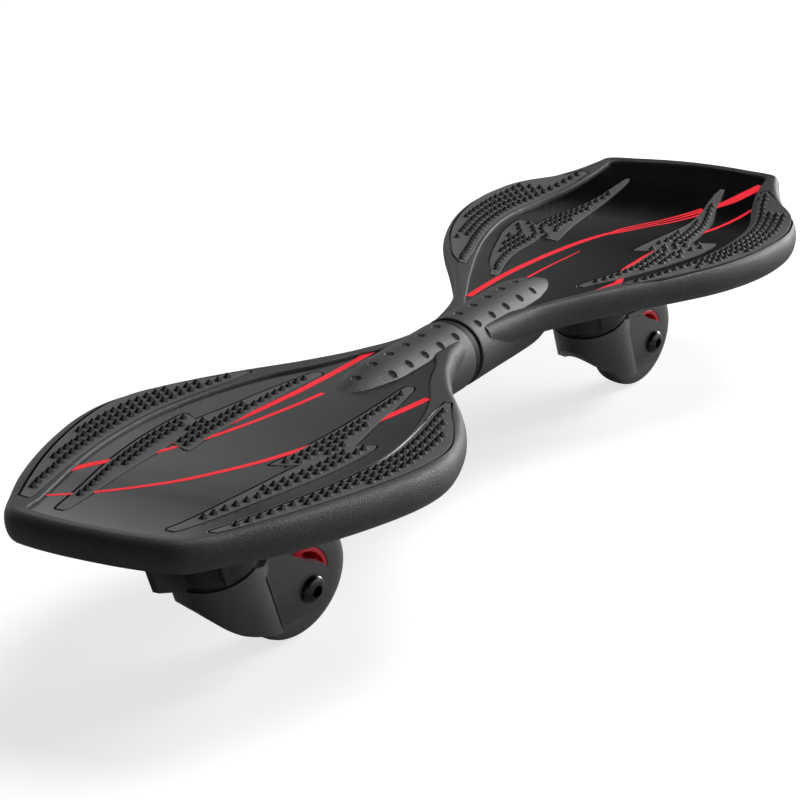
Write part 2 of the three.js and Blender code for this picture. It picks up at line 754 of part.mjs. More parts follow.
// The cross bolts come up from below through the barrels and the anchors
const crossBoltLow = neckZ - BARREL_RADIUS + CLEARANCE;
const crossBoltHigh = neckZ + TUBE_RADIUS + CLEARANCE;
const crossBoltShoulder = crossBoltLow + CROSS_BOLT_HEAD_HEIGHT;
function atCrossBolt(deck, body) {
  return body.translate([boardX(deck, deck.crossBoltAt), 0, 0]);
}
function crossBolt(deck) {
  const body = joined([
    turnedRod(CROSS_BOLT_RADIUS, crossBoltLow, crossBoltHigh),
    turnedRod(CROSS_BOLT_HEAD_RADIUS, crossBoltLow, crossBoltShoulder),
  ]);
  const socketTop = crossBoltLow + CROSS_BOLT_SOCKET_DEPTH;
  const socket = hexPrism(CROSS_BOLT_SOCKET_FLATS, crossBoltLow - OVERRUN, socketTop);
  return atCrossBolt(deck, body.subtract(socket));
}
function crossBoltHole(deck) {
  const headSeat = crossBoltShoulder + CLEARANCE;
  const body = joined([
    turnedRod(CROSS_BOLT_RADIUS + CLEARANCE, crossBoltLow, crossBoltHigh + CLEARANCE),
    turnedRod(CROSS_BOLT_HEAD_RADIUS + CLEARANCE, crossBoltLow - OVERRUN, headSeat),
  ]);
  return atCrossBolt(deck, body);
}

// Bores in a barrel: for the tube at the front, for the bushes and anchor at the rear
function neckBores(deck) {
  if (deck === FRONT) {
    return [onNeckLine(turnedRod(TUBE_RADIUS + CLEARANCE, -TUBE_FRONT_REACH - CLEARANCE, 0))];
  }
  const flangeSeat = deck.barrelStart + BUSH_FLANGE + CLEARANCE;
  return [
    onNeckLine(turnedRod(BUSH_RADIUS + CLEARANCE, 0, rearAnchorEnd + CLEARANCE, ROUND)),
    onNeckLine(turnedRod(BUSH_FLANGE_RADIUS + CLEARANCE, 0, flangeSeat, ROUND)),
  ];
}

// One foot deck: shell, ribs, boss, spine and barrel in a single moulding
function deckBody(deck) {
  const shell = deckLoft(deck, rimTop, skirt);
  const moulding = joined([shell, ribs(deck), casterBoss(deck), spine(deck), barrel(deck)]);
  const pockets = Object.keys(deck.pads).flatMap((place) =>
    [-1, 1].map((sideY) => padPocket(deck, place, sideY)),
  );
  const screwHoleEnd = plateLow + PLATE_SCREW_LENGTH + CLEARANCE;
  const screwHoles = atScrews(
    turnedRod(PLATE_SCREW_RADIUS + CLEARANCE, 0, screwHoleEnd, SCREW_ROUND),
  );
  const kingpinRoom = turnedRod(
    hexRadius(KINGPIN_HEAD_FLATS) + CLEARANCE,
    0,
    plateHigh + KINGPIN_HEAD_HEIGHT + CLEARANCE + CLEARANCE,
  );
  const casterCuts = [...screwHoles, kingpinRoom].map((body) => onSwivelAxis(deck, body));
  return cut(moulding, [
    ...pockets,
    ...neckBores(deck),
    crossBoltHole(deck),
    ...dimples(deck),
    ...casterCuts,
  ]);
}

// The neck's own pieces, along +X from the parting plane
function onNeckLine(body) {
  return body.rotate([0, 90, 0]).translate([partingX, 0, neckZ]);
}
function neckRing() {
  return onNeckLine(turnedRing(TUBE_RADIUS + CLEARANCE, RING_RADIUS, -RING_WIDTH, 0, ROUND));
}
function neckTube() {
  const tube = onNeckLine(turnedRing(TUBE_BORE, TUBE_RADIUS, -TUBE_FRONT_REACH, TUBE_REAR_REACH));
  return tube.subtract(crossBoltHole(FRONT));
}
function innerBush() {
  const bore = TUBE_RADIUS + CLEARANCE;
  const flangeEnd = REAR.barrelStart + BUSH_FLANGE;
  return onNeckLine(
    turned([
      [bore, REAR.barrelStart],
      [BUSH_FLANGE_RADIUS, REAR.barrelStart],
      [BUSH_FLANGE_RADIUS, flangeEnd],
      [BUSH_RADIUS, flangeEnd],
      [BUSH_RADIUS, flangeEnd + BUSH_LENGTH],
      [bore, flangeEnd + BUSH_LENGTH],
      [bore, REAR.barrelStart],
    ]),
  );
}
function outerBush() {
  const end = TUBE_REAR_REACH - OUTER_BUSH_INSET;
  const bore = TUBE_RADIUS + CLEARANCE;
  return onNeckLine(turnedRing(bore, BUSH_RADIUS, end - BUSH_LENGTH, end, ROUND));
}
function torsionBar() {
  const ends = [-frontAnchorStart - TORSION_BAR_SEAT, rearAnchorStart + TORSION_BAR_SEAT];
  return onNeckLine(turnedRod(TORSION_BAR_RADIUS, ...ends));
}
function frontAnchor() {
  const seat = turnedRod(
    TORSION_BAR_RADIUS + CLEARANCE,
    -frontAnchorStart - TORSION_BAR_SEAT - CLEARANCE,
    -frontAnchorStart + OVERRUN,
  );
  const plug = turnedRod(TUBE_BORE - CLEARANCE, -TUBE_FRONT_REACH, -frontAnchorStart);
  return onNeckLine(plug.subtract(seat)).subtract(crossBoltHole(FRONT));
}
function rearAnchor() {
  const seat = turnedRod(
    TORSION_BAR_RADIUS + CLEARANCE,
    rearAnchorStart - OVERRUN,
    rearAnchorStart + TORSION_BAR_SEAT + CLEARANCE,
  );
  const plug = turnedRod(BUSH_RADIUS, rearAnchorStart, rearAnchorEnd);
  return onNeckLine(plug.subtract(seat)).subtract(crossBoltHole(REAR));
}

// The swivel stack, in the frame of the swivel axis
function plateScrew(grow) {
  const radius = PLATE_SCREW_RADIUS + grow;
  const coneEnd = plateLow + PLATE_SCREW_HEAD_RADIUS - PLATE_SCREW_RADIUS;
  const shank = turnedRod(radius, plateLow, plateLow + PLATE_SCREW_LENGTH, SCREW_ROUND);
  const cone = turned(
    [
      [0, plateLow],
      [PLATE_SCREW_HEAD_RADIUS + grow, plateLow],
      [radius, coneEnd],
      [0, coneEnd],
    ],
    SCREW_ROUND,
  );
  return joined([shank, cone]);
}
function basePlate() {
  const kingpinHole = KINGPIN_RADIUS + CLEARANCE;
  const disc = turnedRing(kingpinHole, BASE_PLATE_RADIUS, plateLow, plateHigh, ROUND);
  return cut(disc, atScrews(plateScrew(CLEARANCE)));
}
const kingpinSeat = plateHigh + CLEARANCE;
const nutTop = -HEAD_THICKNESS - CLEARANCE;
const kingpinLow = nutTop - KINGPIN_NUT_HEIGHT - KINGPIN_TAIL;
function kingpin() {
  return joined([
    turnedRod(KINGPIN_RADIUS, kingpinLow, kingpinSeat + CLEARANCE),
    hexPrism(KINGPIN_HEAD_FLATS, kingpinSeat, kingpinSeat + KINGPIN_HEAD_HEIGHT),
  ]);
}
function kingpinNut() {
  const bore = turnedRod(KINGPIN_RADIUS + CLEARANCE, kingpinLow - OVERRUN, 0);
  return hexPrism(KINGPIN_NUT_FLATS, nutTop - KINGPIN_NUT_HEIGHT, nutTop).subtract(bore);
}
const raceRing = (low, high) => turnedRing(RACE_BORE, RACE_RADIUS, low, high);

// The fork: a round head and cowl ahead of the wheel, and a blade down each side to the axle
const FORK_INSIDE = 14; // half of the gap that the wheel runs in
const FORK_BLADE = 6;
const COWL_THICKNESS = 5;
const COWL_END = 12.6; // how far the cowl's wall runs behind the swivel axis
const COWL_ROOM_END = 6;
const AXLE_END_RADIUS = 15.5;
const AXLE_BOSS_RADIUS = 6.2;
const TYRE_ROOM = 2.5;
const AXLE_RADIUS = 4;
const FORK_BACK_SHARES = [
  [0.143, 0],
  [0.286, -0.096],
  [0.786, -0.288],
  [0.857, -0.404],
  [0.952, -0.519],
  [1.095, -0.654],
  [1.333, -0.846],
];
const FORK_FRONT_SHARES = [
  [0.333, -1.135],
  [0.262, -1.077],
  [-0.071, -0.865],
  [-0.381, -0.673],
  [-0.619, -0.385],
];
const AXLE_END_ARC = { from: 32, to: -106, steps: 7 };
const HUB_HALF_WIDTH = 11;
function onAxle(body) {
  return body.rotate([90, 0, 0]).translate([TRAIL, 0, -AXLE_DROP]);
}
function forkSide() {
  const fromShares = ([x, z]) => [x * TRAIL, z * AXLE_DROP];
  const { from, to, steps } = AXLE_END_ARC;
  return [
    [-SWIVEL_HEAD_RADIUS - OVERRUN, 0],
    ...FORK_BACK_SHARES.map(fromShares),
    ...arcPoints(TRAIL, -AXLE_DROP, AXLE_END_RADIUS, from, to, steps),
    ...FORK_FRONT_SHARES.map(fromShares),
    [-SWIVEL_HEAD_RADIUS - OVERRUN, -HEAD_THICKNESS],
  ];
}
function fork() {
  const low = -AXLE_DROP - AXLE_END_RADIUS - OVERRUN;
  const far = TRAIL + AXLE_END_RADIUS + OVERRUN;
  const width = SWIVEL_HEAD_RADIUS + OVERRUN;
  const column = turnedRod(SWIVEL_HEAD_RADIUS, low, 0, ROUND);
  const head = turnedRod(SWIVEL_HEAD_RADIUS, -HEAD_THICKNESS, 0, ROUND);
  const cowl = extrudedAcross(forkSide(), width)
    .intersect(column)
    .intersect(boxBetween([-width, -width, low], [COWL_END, width, 0]));
  const blades = extrudedAcross(forkSide(), FORK_INSIDE + FORK_BLADE).intersect(
    boxBetween([0, -width, low], [far, width, 0]),
  );
  const cowlRoom = turnedRod(SWIVEL_HEAD_RADIUS - COWL_THICKNESS, low, -HEAD_THICKNESS, ROUND);
  const room = cowlRoom.intersect(boxBetween([-width, -width, low], [COWL_ROOM_END, width, 0]));
  const slot = boxBetween([0, -FORK_INSIDE, low], [far, FORK_INSIDE, -HEAD_THICKNESS]);
  const wheelRoom = onAxle(
    turnedRod(WHEEL_RADIUS + TYRE_ROOM, -FORK_INSIDE, FORK_INSIDE, ROUND),
  );
  const raceRoom = turnedRod(RACE_RADIUS + CLEARANCE, raceSeat, OVERRUN, ROUND);
  const kingpinHole = turnedRod(KINGPIN_RADIUS + CLEARANCE, low, OVERRUN);
  const open = cut(joined([head, cowl, blades]), [room, slot, wheelRoom, raceRoom, kingpinHole]);
  const bosses = [-1, 1].map((side) => {
    const ends = [side * (HUB_HALF_WIDTH + CLEARANCE), side * (FORK_INSIDE + FORK_BLADE / 2)];
    return onAxle(turnedRod(AXLE_BOSS_RADIUS, ...ends.sort((a, b) => a - b)));
  });
  const axleHole = onAxle(turnedRod(AXLE_RADIUS + CLEARANCE, -width, width));
  return joined([open, ...bosses]).subtract(axleHole);
}

// The wheel and its axle, turned about the axle, with the rider's left at +Z
const RIM_RADIUS = 21.5;
const RIM_THICKNESS = 2.5;
const HUB_BOSS_RADIUS = 13.5;
const SPOKE_COUNT = 6;
const SPOKE_WIDTH = 5;
const SPOKE_HALF_DEPTH = 7;
const BEARING_RADIUS = 11;
const BEARING_WIDTH = 7;
const BEARING_INSET = 0.1;
const INNER_RING_RADIUS = 6;
const HUB_SHOULDER_BORE = 9;
const BOLT_HEAD_RADIUS = 8.5;
const BOLT_HEAD_HEIGHT = 4.5;
const BOLT_HEAD_SECTION_SHARES = [
  [1, 0.3],
  [0.82, 0.78],
  [0.5, 1],
];
const BOLT_SOCKET_FLATS = 5;
const BOLT_SOCKET_DEPTH = 2.8;
const AXLE_NUT_FLATS = 13;
const AXLE_NUT_HEIGHT = 7;
const AXLE_BOLT_TAIL = 1.5;
const bearingFar = HUB_HALF_WIDTH - BEARING_INSET;
const bearingNear = bearingFar - BEARING_WIDTH;
const spacerEnd = bearingNear - CLEARANCE;
const boltSeat = FORK_INSIDE + FORK_BLADE + CLEARANCE;
function tyre() {
  const section = TYRE_SECTION_SHARES.map(([radius, width]) => [
    radius * WHEEL_RADIUS,
    (width * WHEEL_WIDTH) / 2,
  ]);
  const bead = RIM_RADIUS + CLEARANCE;
  const beadHalf = HUB_HALF_WIDTH;
  const upper = section.slice(0, -1).map(([radius, height]) => [radius, height]);
  const lower = upper.map(([radius, height]) => [radius, -height]);
  const crown = section[section.length - 1];
  return turned([
    [bead, -beadHalf],
    ...lower,
    crown,
    ...upper.reverse(),
    [bead, beadHalf],
    [bead, -beadHalf],
  ]);
}
function hub() {
  const half = HUB_HALF_WIDTH;
  const rim = turnedRing(RIM_RADIUS - RIM_THICKNESS, RIM_RADIUS, -half, half, ROUND);
  const boss = turnedRod(HUB_BOSS_RADIUS, -half, half);
  const spokes = Array.from({ length: SPOKE_COUNT }, (_, i) =>
    boxBetween(
      [HUB_SHOULDER_BORE, -SPOKE_WIDTH / 2, -SPOKE_HALF_DEPTH],
      [RIM_RADIUS - RIM_THICKNESS / 2, SPOKE_WIDTH / 2, SPOKE_HALF_DEPTH],
    ).rotate([0, 0, (360 * i) / SPOKE_COUNT]),
  );
  const seat = BEARING_RADIUS + CLEARANCE;
  return cut(joined([rim, boss, ...spokes]), [
    turnedRod(HUB_SHOULDER_BORE, -half - OVERRUN, half + OVERRUN),
    turnedRod(seat, bearingNear - CLEARANCE, half + OVERRUN),
    turnedRod(seat, -half - OVERRUN, CLEARANCE - bearingNear),
  ]);
}
function bearingPiece(inner, outer, side) {
  const ends = [side * bearingNear, side * bearingFar].sort((a, b) => a - b);
  return turnedRing(inner, outer, ...ends);
}
function axleBolt() {
  const shankEnd = -boltSeat - AXLE_NUT_HEIGHT - AXLE_BOLT_TAIL;
  const head = turned([
    [0, boltSeat],
    [BOLT_HEAD_RADIUS, boltSeat],
    ...BOLT_HEAD_SECTION_SHARES.map(([radius, height]) => [
      radius * BOLT_HEAD_RADIUS,
      boltSeat + height * BOLT_HEAD_HEIGHT,
    ]),
    [0, boltSeat + BOLT_HEAD_HEIGHT],
  ]);
  const headTop = boltSeat + BOLT_HEAD_HEIGHT;
  const socket = hexPrism(BOLT_SOCKET_FLATS, headTop - BOLT_SOCKET_DEPTH, headTop + OVERRUN);
  return joined([turnedRod(AXLE_RADIUS, shankEnd, boltSeat + CLEARANCE), head]).subtract(socket);
}
function axleNut() {
  const body = hexPrism(AXLE_NUT_FLATS, -boltSeat - AXLE_NUT_HEIGHT, -boltSeat);
  return body.subtract(turnedRod(AXLE_RADIUS + CLEARANCE, -boltSeat - 2 * AXLE_NUT_HEIGHT, 0));
}

// One caster: its stack under the deck's boss, its fork at the rest angle, and its wheel
function caster(deck) {
  const lean = new THREE.Group();
  lean.position.set(...swivelOrigin(deck));
  lean.rotation.y = -CASTER_LEAN;
  lean.add(
    meshOf(`${deck.name}_base_plate`, basePlate(), BLACK_STEEL),
    meshOf(`${deck.name}_upper_race`, raceRing(upperRaceLow, upperRaceHigh), STEEL),
    meshOf(`${deck.name}_ball_ring`, raceRing(ballRingLow, ballRingHigh), STEEL),
    meshOf(`${deck.name}_kingpin`, kingpin(), STEEL),
    meshOf(`${deck.name}_kingpin_nut`, kingpinNut(), STEEL),
  );
  atScrews(plateScrew(0)).forEach((body, i) =>
    lean.add(meshOf(`${deck.name}_plate_screw_${i + 1}`, body, STEEL)),
  );
  const swivel = new THREE.Group();
  swivel.rotation.z = deck.swivelRest;
  swivel.add(
    meshOf(`${deck.name}_lower_race`, raceRing(lowerRaceLow, lowerRaceHigh), STEEL),
    meshOf(`${deck.name}_fork`, fork(), FORK_PLASTIC),
  );
  const axle = new THREE.Group();
  axle.position.set(TRAIL, 0, -AXLE_DROP);
  axle.rotation.x = Math.PI / 2;
  const bore = AXLE_RADIUS + CLEARANCE;
  const spacer = turnedRing(bore, INNER_RING_RADIUS, -spacerEnd, spacerEnd);
  axle.add(
    meshOf(`${deck.name}_tyre`, tyre(), TYRE_RUBBER),
    meshOf(`${deck.name}_hub`, hub(), RED_PLASTIC),
    meshOf(`${deck.name}_bearing_spacer`, spacer, STEEL),
    meshOf(`${deck.name}_axle_bolt`, axleBolt(), BLACK_STEEL),
    meshOf(`${deck.name}_axle_nut`, axleNut(), STEEL),
  );
  for (const [sideName, side] of SIDES) {
    const label = `${deck.name}_${sideName}_bearing`;
    const shield = INNER_RING_RADIUS + CLEARANCE;
    axle.add(
      meshOf(`${label}_outer_ring`, bearingPiece(shield, BEARING_RADIUS, -side), STEEL),
      meshOf(`${label}_inner_ring`, bearingPiece(bore, INNER_RING_RADIUS, -side), STEEL),
    );
  }
  swivel.add(axle);
  lean.add(swivel);
  return lean;
}

// The board
const board = new THREE.Group();
for (const deck of [FRONT, REAR]) {
  board.add(meshOf(`${deck.name}_deck`, deckBody(deck), DECK_PLASTIC));
  for (const [sideName, sideY] of SIDES) {
    for (const place of Object.keys(deck.pads)) {
      const name = `${deck.name}_${place}_pad_${sideName}`;
      board.add(meshOf(name, pad(deck, place, sideY), GRIP_RUBBER));
    }
  }
  board.add(meshOf(`${deck.name}_cross_bolt`, crossBolt(deck), BLACK_STEEL));
  board.add(caster(deck));
}
board.add(
  meshOf("neck_ring", neckRing(), BLACK_RUBBER),
  meshOf("neck_tube", neckTube(), STEEL),
  meshOf("inner_bush", innerBush(), BUSH_PLASTIC),
  meshOf("outer_bush", outerBush(), BUSH_PLASTIC),
  meshOf("torsion_bar", torsionBar(), STEEL),
  meshOf("front_anchor", frontAnchor(), STEEL),
  meshOf("rear_anchor", rearAnchor(), STEEL),
);

export default board;
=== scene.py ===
import math

import bmesh
import bpy
from mathutils import Matrix, Vector


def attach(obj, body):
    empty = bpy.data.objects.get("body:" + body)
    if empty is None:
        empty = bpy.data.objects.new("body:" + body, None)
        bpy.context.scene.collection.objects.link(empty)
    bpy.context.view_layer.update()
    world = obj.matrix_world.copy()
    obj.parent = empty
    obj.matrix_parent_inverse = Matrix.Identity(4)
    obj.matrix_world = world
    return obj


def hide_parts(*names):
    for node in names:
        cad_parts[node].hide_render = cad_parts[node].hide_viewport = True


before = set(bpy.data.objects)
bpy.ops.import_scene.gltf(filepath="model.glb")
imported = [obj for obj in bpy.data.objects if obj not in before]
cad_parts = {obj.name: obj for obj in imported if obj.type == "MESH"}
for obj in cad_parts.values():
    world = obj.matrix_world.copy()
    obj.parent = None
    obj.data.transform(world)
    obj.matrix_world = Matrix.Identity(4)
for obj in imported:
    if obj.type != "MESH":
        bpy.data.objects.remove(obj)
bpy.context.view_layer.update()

# Camera: near the front of the board on the rider's left, a little above the decks.
# The lens is long, so the far deck looks almost as large as the near one.
lens = bpy.data.cameras.new("camera")
lens.lens = 113.03
lens.sensor_width = 36
lens.clip_end = 60
camera = bpy.data.objects.new("camera", lens)
camera.location = (-1.3982, -0.6699, 0.5826)
camera.rotation_euler = (math.radians(71.61), 0, math.radians(-63.03))
bpy.context.collection.objects.link(camera)
bpy.context.scene.camera = camera

# Studio: a pale floor that keeps the board's shadow, a large soft lamp low on the right and
# another overhead. The sky is a low band of light, brightest on the right and behind, and dark
# above it. The camera sees it as white.
FLOOR_REACH = 15
FLOOR_COLOUR = (0.42, 0.42, 0.42)
FLOOR_GLOW = 0.72
SKY_DARK = 0.02
SKY_GLOWS = [
    # where it comes from, how far round it reaches as a cosine, how bright it is
    ((0.62, -0.78, 0), 0.3, 2.1),
    ((0.5, 0.87, 0), 0.72, 1.55),
]
SKY_BAND = (0.33, 0.46)  # heights between which the sky's light fades out
SKY_OVERHEAD = 0.06
LAMPS = [
    # name, where it stands, its size, its power, all aimed at the middle of the board
    ("right_lamp", (3, -1.1, 1.15), 1.5, 120),
    ("overhead_lamp", (0.3, -0.5, 2.4), 1.6, 46),
]


def feed(tree, made, inputs):
    """Gives a node's inputs their values, or links them from other nodes' outputs."""
    for name, value in inputs.items():
        if isinstance(value, bpy.types.NodeSocket):
            tree.links.new(value, made.inputs[name])
        else:
            made.inputs[name].default_value = value


def node(tree, kind, inputs=(), **settings):
    made = tree.nodes.new(kind)
    for name, value in settings.items():
        setattr(made, name, value)
    feed(tree, made, dict(inputs))
    return made


def ranged(tree, value, low, high, start=0, end=1, **settings):
    """A value moved from one range, from start to end, into another."""
    ends = {"Value": value, "From Min": start, "From Max": end, "To Min": low, "To Max": high}
    return node(tree, "ShaderNodeMapRange", ends, **settings).outputs["Result"]


def surface(name):
    """A new material, its tree and shader, and the place of a point on its object."""
    material = bpy.data.materials.new(name)
    material.use_nodes = True
    tree = material.node_tree
    where = node(tree, "ShaderNodeTexCoord").outputs["Object"]
    return material, tree, tree.nodes["Principled BSDF"], where


def mottled(tree, factor, colour, dark, light):
    """A colour that varies with a factor between two shares of itself."""
    ends = [(*[share * part for part in colour], 1) for share in (dark, light)]
    inputs = {"Factor": factor, "A": ends[0], "B": ends[1]}
    return node(tree, "ShaderNodeMix", inputs, data_type="RGBA").outputs["Result"]


def floor_finish():
    material, tree, shader, where = surface("pale_floor")
    speckle = node(tree, "ShaderNodeTexNoise", {"Vector": where, "Scale": 6}).outputs["Fac"]
    seen = node(tree, "ShaderNodeLightPath").outputs["Is Camera Ray"]
    glow = node(tree, "ShaderNodeMath", {0: seen, 1: FLOOR_GLOW}, operation="MULTIPLY")
    feed(tree, shader, {
        "Roughness": 0.9,
        "Specular IOR Level": 0,
        "Base Color": mottled(tree, speckle, FLOOR_COLOUR, 1, 0.97),
        "Emission Color": (1, 1, 1, 1),
        "Emission Strength": glow.outputs["Value"],
    })
    return material


floor_mesh = bpy.data.meshes.new("floor")
quarters = [(-1, -1), (1, -1), (1, 1), (-1, 1)]
corners = [(FLOOR_REACH * x, FLOOR_REACH * y, 0) for x, y in quarters]
floor_mesh.from_pydata(corners, [], [(0, 1, 2, 3)])
floor = bpy.data.objects.new("floor", floor_mesh)
floor_mesh.materials.append(floor_finish())
bpy.context.collection.objects.link(floor)

for lamp_name, place, size, power in LAMPS:
    light = bpy.data.lights.new(lamp_name, "AREA")
    light.shape = "DISK"
    light.size = size
    light.energy = power
    lamp = bpy.data.objects.new(lamp_name, light)
    lamp.location = place
    lamp.rotation_euler = Vector(place).to_track_quat("Z", "Y").to_euler()
    bpy.context.collection.objects.link(lamp)

world = bpy.data.worlds.new("studio")
world.use_nodes = True
bpy.context.scene.world = world
sky = world.node_tree
sky.nodes.clear()
toward = node(sky, "ShaderNodeTexCoord").outputs["Generated"]
smooth = dict(interpolation_type="SMOOTHSTEP")
glow = 0
for side, reach, bright in SKY_GLOWS:
    on_side = node(sky, "ShaderNodeVectorMath", {0: toward, 1: side}, operation="DOT_PRODUCT")
    side_glow = ranged(sky, on_side.outputs["Value"], SKY_DARK, bright, reach, **smooth)
    glow = node(sky, "ShaderNodeMath", {0: side_glow, 1: glow}, operation="ADD").outputs["Value"]
up = node(sky, "ShaderNodeSeparateXYZ", {"Vector": toward}).outputs["Z"]
fade = ranged(sky, up, 1, SKY_OVERHEAD, *SKY_BAND, **smooth)
strength = node(sky, "ShaderNodeMath", {0: glow, 1: fade}, operation="MULTIPLY").outputs["Value"]
light = node(sky, "ShaderNodeBackground", {"Strength": strength}).outputs["Background"]
white = node(sky, "ShaderNodeBackground", {"Strength": 1, "Color": (1, 1, 1, 1)}).outputs["Background"]
seen = node(sky, "ShaderNodeLightPath").outputs["Is Camera Ray"]
either = node(sky, "ShaderNodeMixShader", {"Fac": seen, 1: light, 2: white}).outputs["Shader"]
node(sky, "ShaderNodeOutputWorld", {"Surface": either})
bpy.context.scene.view_settings.view_transform = "Standard"

# Decks: each foot deck is one glass-filled nylon moulding. A rounded, finely grained rim and a
# flat land go round a smooth dished pan. The neck's barrel runs over the pan and dies into it,
# and under the pan are the skirt, ribs and the leaning boss that carries the caster.
MM = 0.001
PARTING_X = -11.5
RIM_HEIGHT = 110.6
NECK_HEIGHT = 102.1
BARREL_RADIUS = 23.5
LAND_RISE = 7
LAND_SLOPE = 0.07
PAN_RISE = 5.2
PLATE_THICKNESS = 4
LEVEL_LENGTH = 200
RIM_REACH = 20
RIM_DROP = 10.4
RIM_TOP_SHARE = 0.45
RIM_UNDER_SHARE = 0.42
RIM_STEPS = 9
SKIRT_INSIDE = [(0.5, 0.93), (0.54, 0.6)]  # shares of the rim's reach and of its drop
SKIRT_FOOT = 0.7
LAND_EDGE = [(-1, 0), (-0.4, 0.15), (0, 0.6)]  # past the pan's edge, below the land
PAN_GROOVE = [(0.1, 0.8), (0.8, 0.8), (0.95, 0.1), (1.2, 0)]  # past the pan's edge, below the pan
PAN_RING = RIM_STEPS + 7  # the ring of a station where the pan's finish starts
END_LIFT = 0.3
END_LIFT_REACH = 20
STATION_STEPS = 9
LIFT_STEPS = 5
CASTER_LEAN = math.radians(25.3)
TRAIL = 42
AXLE_DROP = 52
# rim edge, then pan edge, as shares of the length and of the half width, from neck to end
FRONT_OUTLINE = [
    (0.05, 0.19, 0.05, 0.07),
    (0.08, 0.212, 0.08, 0.085),
    (0.11, 0.24, 0.11, 0.115),
    (0.14, 0.28, 0.142, 0.17),
    (0.181, 0.335, 0.181, 0.24),
    (0.227, 0.425, 0.22, 0.29),
    (0.277, 0.53, 0.262, 0.355),
    (0.337, 0.68, 0.33, 0.48),
    (0.394, 0.805, 0.405, 0.572),
    (0.465, 0.92, 0.477, 0.631),
    (0.549, 1, 0.554, 0.665),
    (0.625, 0.992, 0.625, 0.66),
    (0.711, 0.92, 0.711, 0.624),
    (0.792, 0.823, 0.802, 0.555),
    (0.864, 0.717, 0.878, 0.483),
    (0.926, 0.602, 0.918, 0.443),
    (0.964, 0.52, 0.945, 0.426),
    (0.985, 0.44, 0.957, 0.4),
    (0.994, 0.32, 0.964, 0.31),
    (0.999, 0.16, 0.97, 0.16),
    (1, 0, 0.972, 0),
]
REAR_OUTLINE = [
    (0.035, 0.172, 0.035, 0.06),
    (0.065, 0.188, 0.065, 0.075),
    (0.095, 0.207, 0.095, 0.095),
    (0.128, 0.232, 0.13, 0.135),
    (0.167, 0.271, 0.172, 0.197),
    (0.217, 0.346, 0.222, 0.268),
    (0.276, 0.457, 0.271, 0.339),
    (0.339, 0.583, 0.335, 0.425),
    (0.412, 0.732, 0.416, 0.528),
    (0.489, 0.866, 0.498, 0.614),
    (0.584, 0.97, 0.593, 0.677),
    (0.679, 1, 0.683, 0.685),
    (0.76, 0.937, 0.758, 0.654),
    (0.814, 0.827, 0.819, 0.591),
    (0.869, 0.726, 0.873, 0.543),
    (0.919, 0.648, 0.914, 0.522),
    (0.955, 0.6, 0.941, 0.512),
    (0.98, 0.55, 0.966, 0.49),
    (0.99, 0.37, 0.976, 0.345),
    (0.998, 0.173, 0.984, 0.173),
    (1, 0, 0.988, 0),
]
DECKS = {
    "front": dict(
        side=-1, length=419, half=113, end_rise=8.2, outline=FRONT_OUTLINE, fairing=166,
        barrel_start=8.8, swivel_at=295, swivel_height=67.795, swivel_rest=-17.6, bolt_at=86,
        # [place along the deck, how far the pan and the rim stand above an even curl there]
        lifts=[(0, 1.6, 0), (40, 1.7, 0.6), (110, 2.2, 2), (180, 2.7, 2.6), (290, 2.7, 2.8),
               (330, 2, 2.6), (355, 0.9, 2), (380, 0.2, 1.2), (419, 0, 0.6)],
    ),
    "rear": dict(
        side=1, length=442, half=127, end_rise=19, outline=REAR_OUTLINE, fairing=157,
        barrel_start=1.2, swivel_at=232, swivel_height=67.374, swivel_rest=-13.2, bolt_at=87.2,
        lifts=[(0, 0.2, 0), (40, 0.3, 0.5), (150, 0.6, 2), (230, 0.9, 2.5), (270, 0.6, 2.8),
               (300, -0.9, 3), (325, -2.8, 3), (350, -3.2, 3), (372, -1.9, 2.6), (395, -0.2, 2),
               (420, 0.3, 1.4), (442, 0, 1)],
    ),
}


def smoothed(rows, steps):
    """Rows of values with smooth ones between them."""
    smooth = []
    for i in range(len(rows) - 1):
        before, row, after, beyond = (
            rows[max(i - 1, 0)], rows[i], rows[i + 1], rows[min(i + 2, len(rows) - 1)]
        )
        for step in range(steps):
            t = step / steps
            smooth.append(
                tuple(
                    b * (2 * t**3 - 3 * t**2 + 1)
                    + c * (3 * t**2 - 2 * t**3)
                    + (c - a) / 2 * (t**3 - 2 * t**2 + t)
                    + (d - b) / 2 * (t**3 - t**2)
                    for a, b, c, d in zip(before, row, after, beyond)
                )
            )
    smooth.append(tuple(rows[-1]))
    return smooth


def read_at(rows, at, column):
    """A column's value where the first column reaches a value."""
    if at <= rows[0][0]:
        return rows[0][column]
    for low, high in zip(rows, rows[1:]):
        if high[0] >= at:
            share = (at - low[0]) / max(high[0] - low[0], 1e-9)
            return low[column] + share * (high[column] - low[column])
    return rows[-1][column]


for deck_name, deck in DECKS.items():
    deck["name"] = deck_name
    rows = [
        (a * deck["length"], b * deck["half"], c * deck["length"], d * deck["half"])
        for a, b, c, d in deck["outline"]
    ]
    deck["stations"] = smoothed(rows, STATION_STEPS)
    deck["pan"] = [(u, w) for _, _, u, w in deck["stations"]]
    deck["smooth_lifts"] = smoothed(deck["lifts"], LIFT_STEPS)


def board_x(deck, u):
    return PARTING_X + deck["side"] * u


def curl(deck, u):
    past = max(0, u - LEVEL_LENGTH) / (deck["length"] - LEVEL_LENGTH)
    return deck["end_rise"] * past**2


def pan_height(deck, u):
    """The pan is level, then curls up, and lifts once more where it meets the end's rim."""
    start = deck["pan"][-1][0] - END_LIFT_REACH
    lift = END_LIFT * (max(0, u - start) / END_LIFT_REACH) ** 2
    return RIM_HEIGHT + curl(deck, u) + PAN_RISE + lift + land_lift(deck, u, 1)


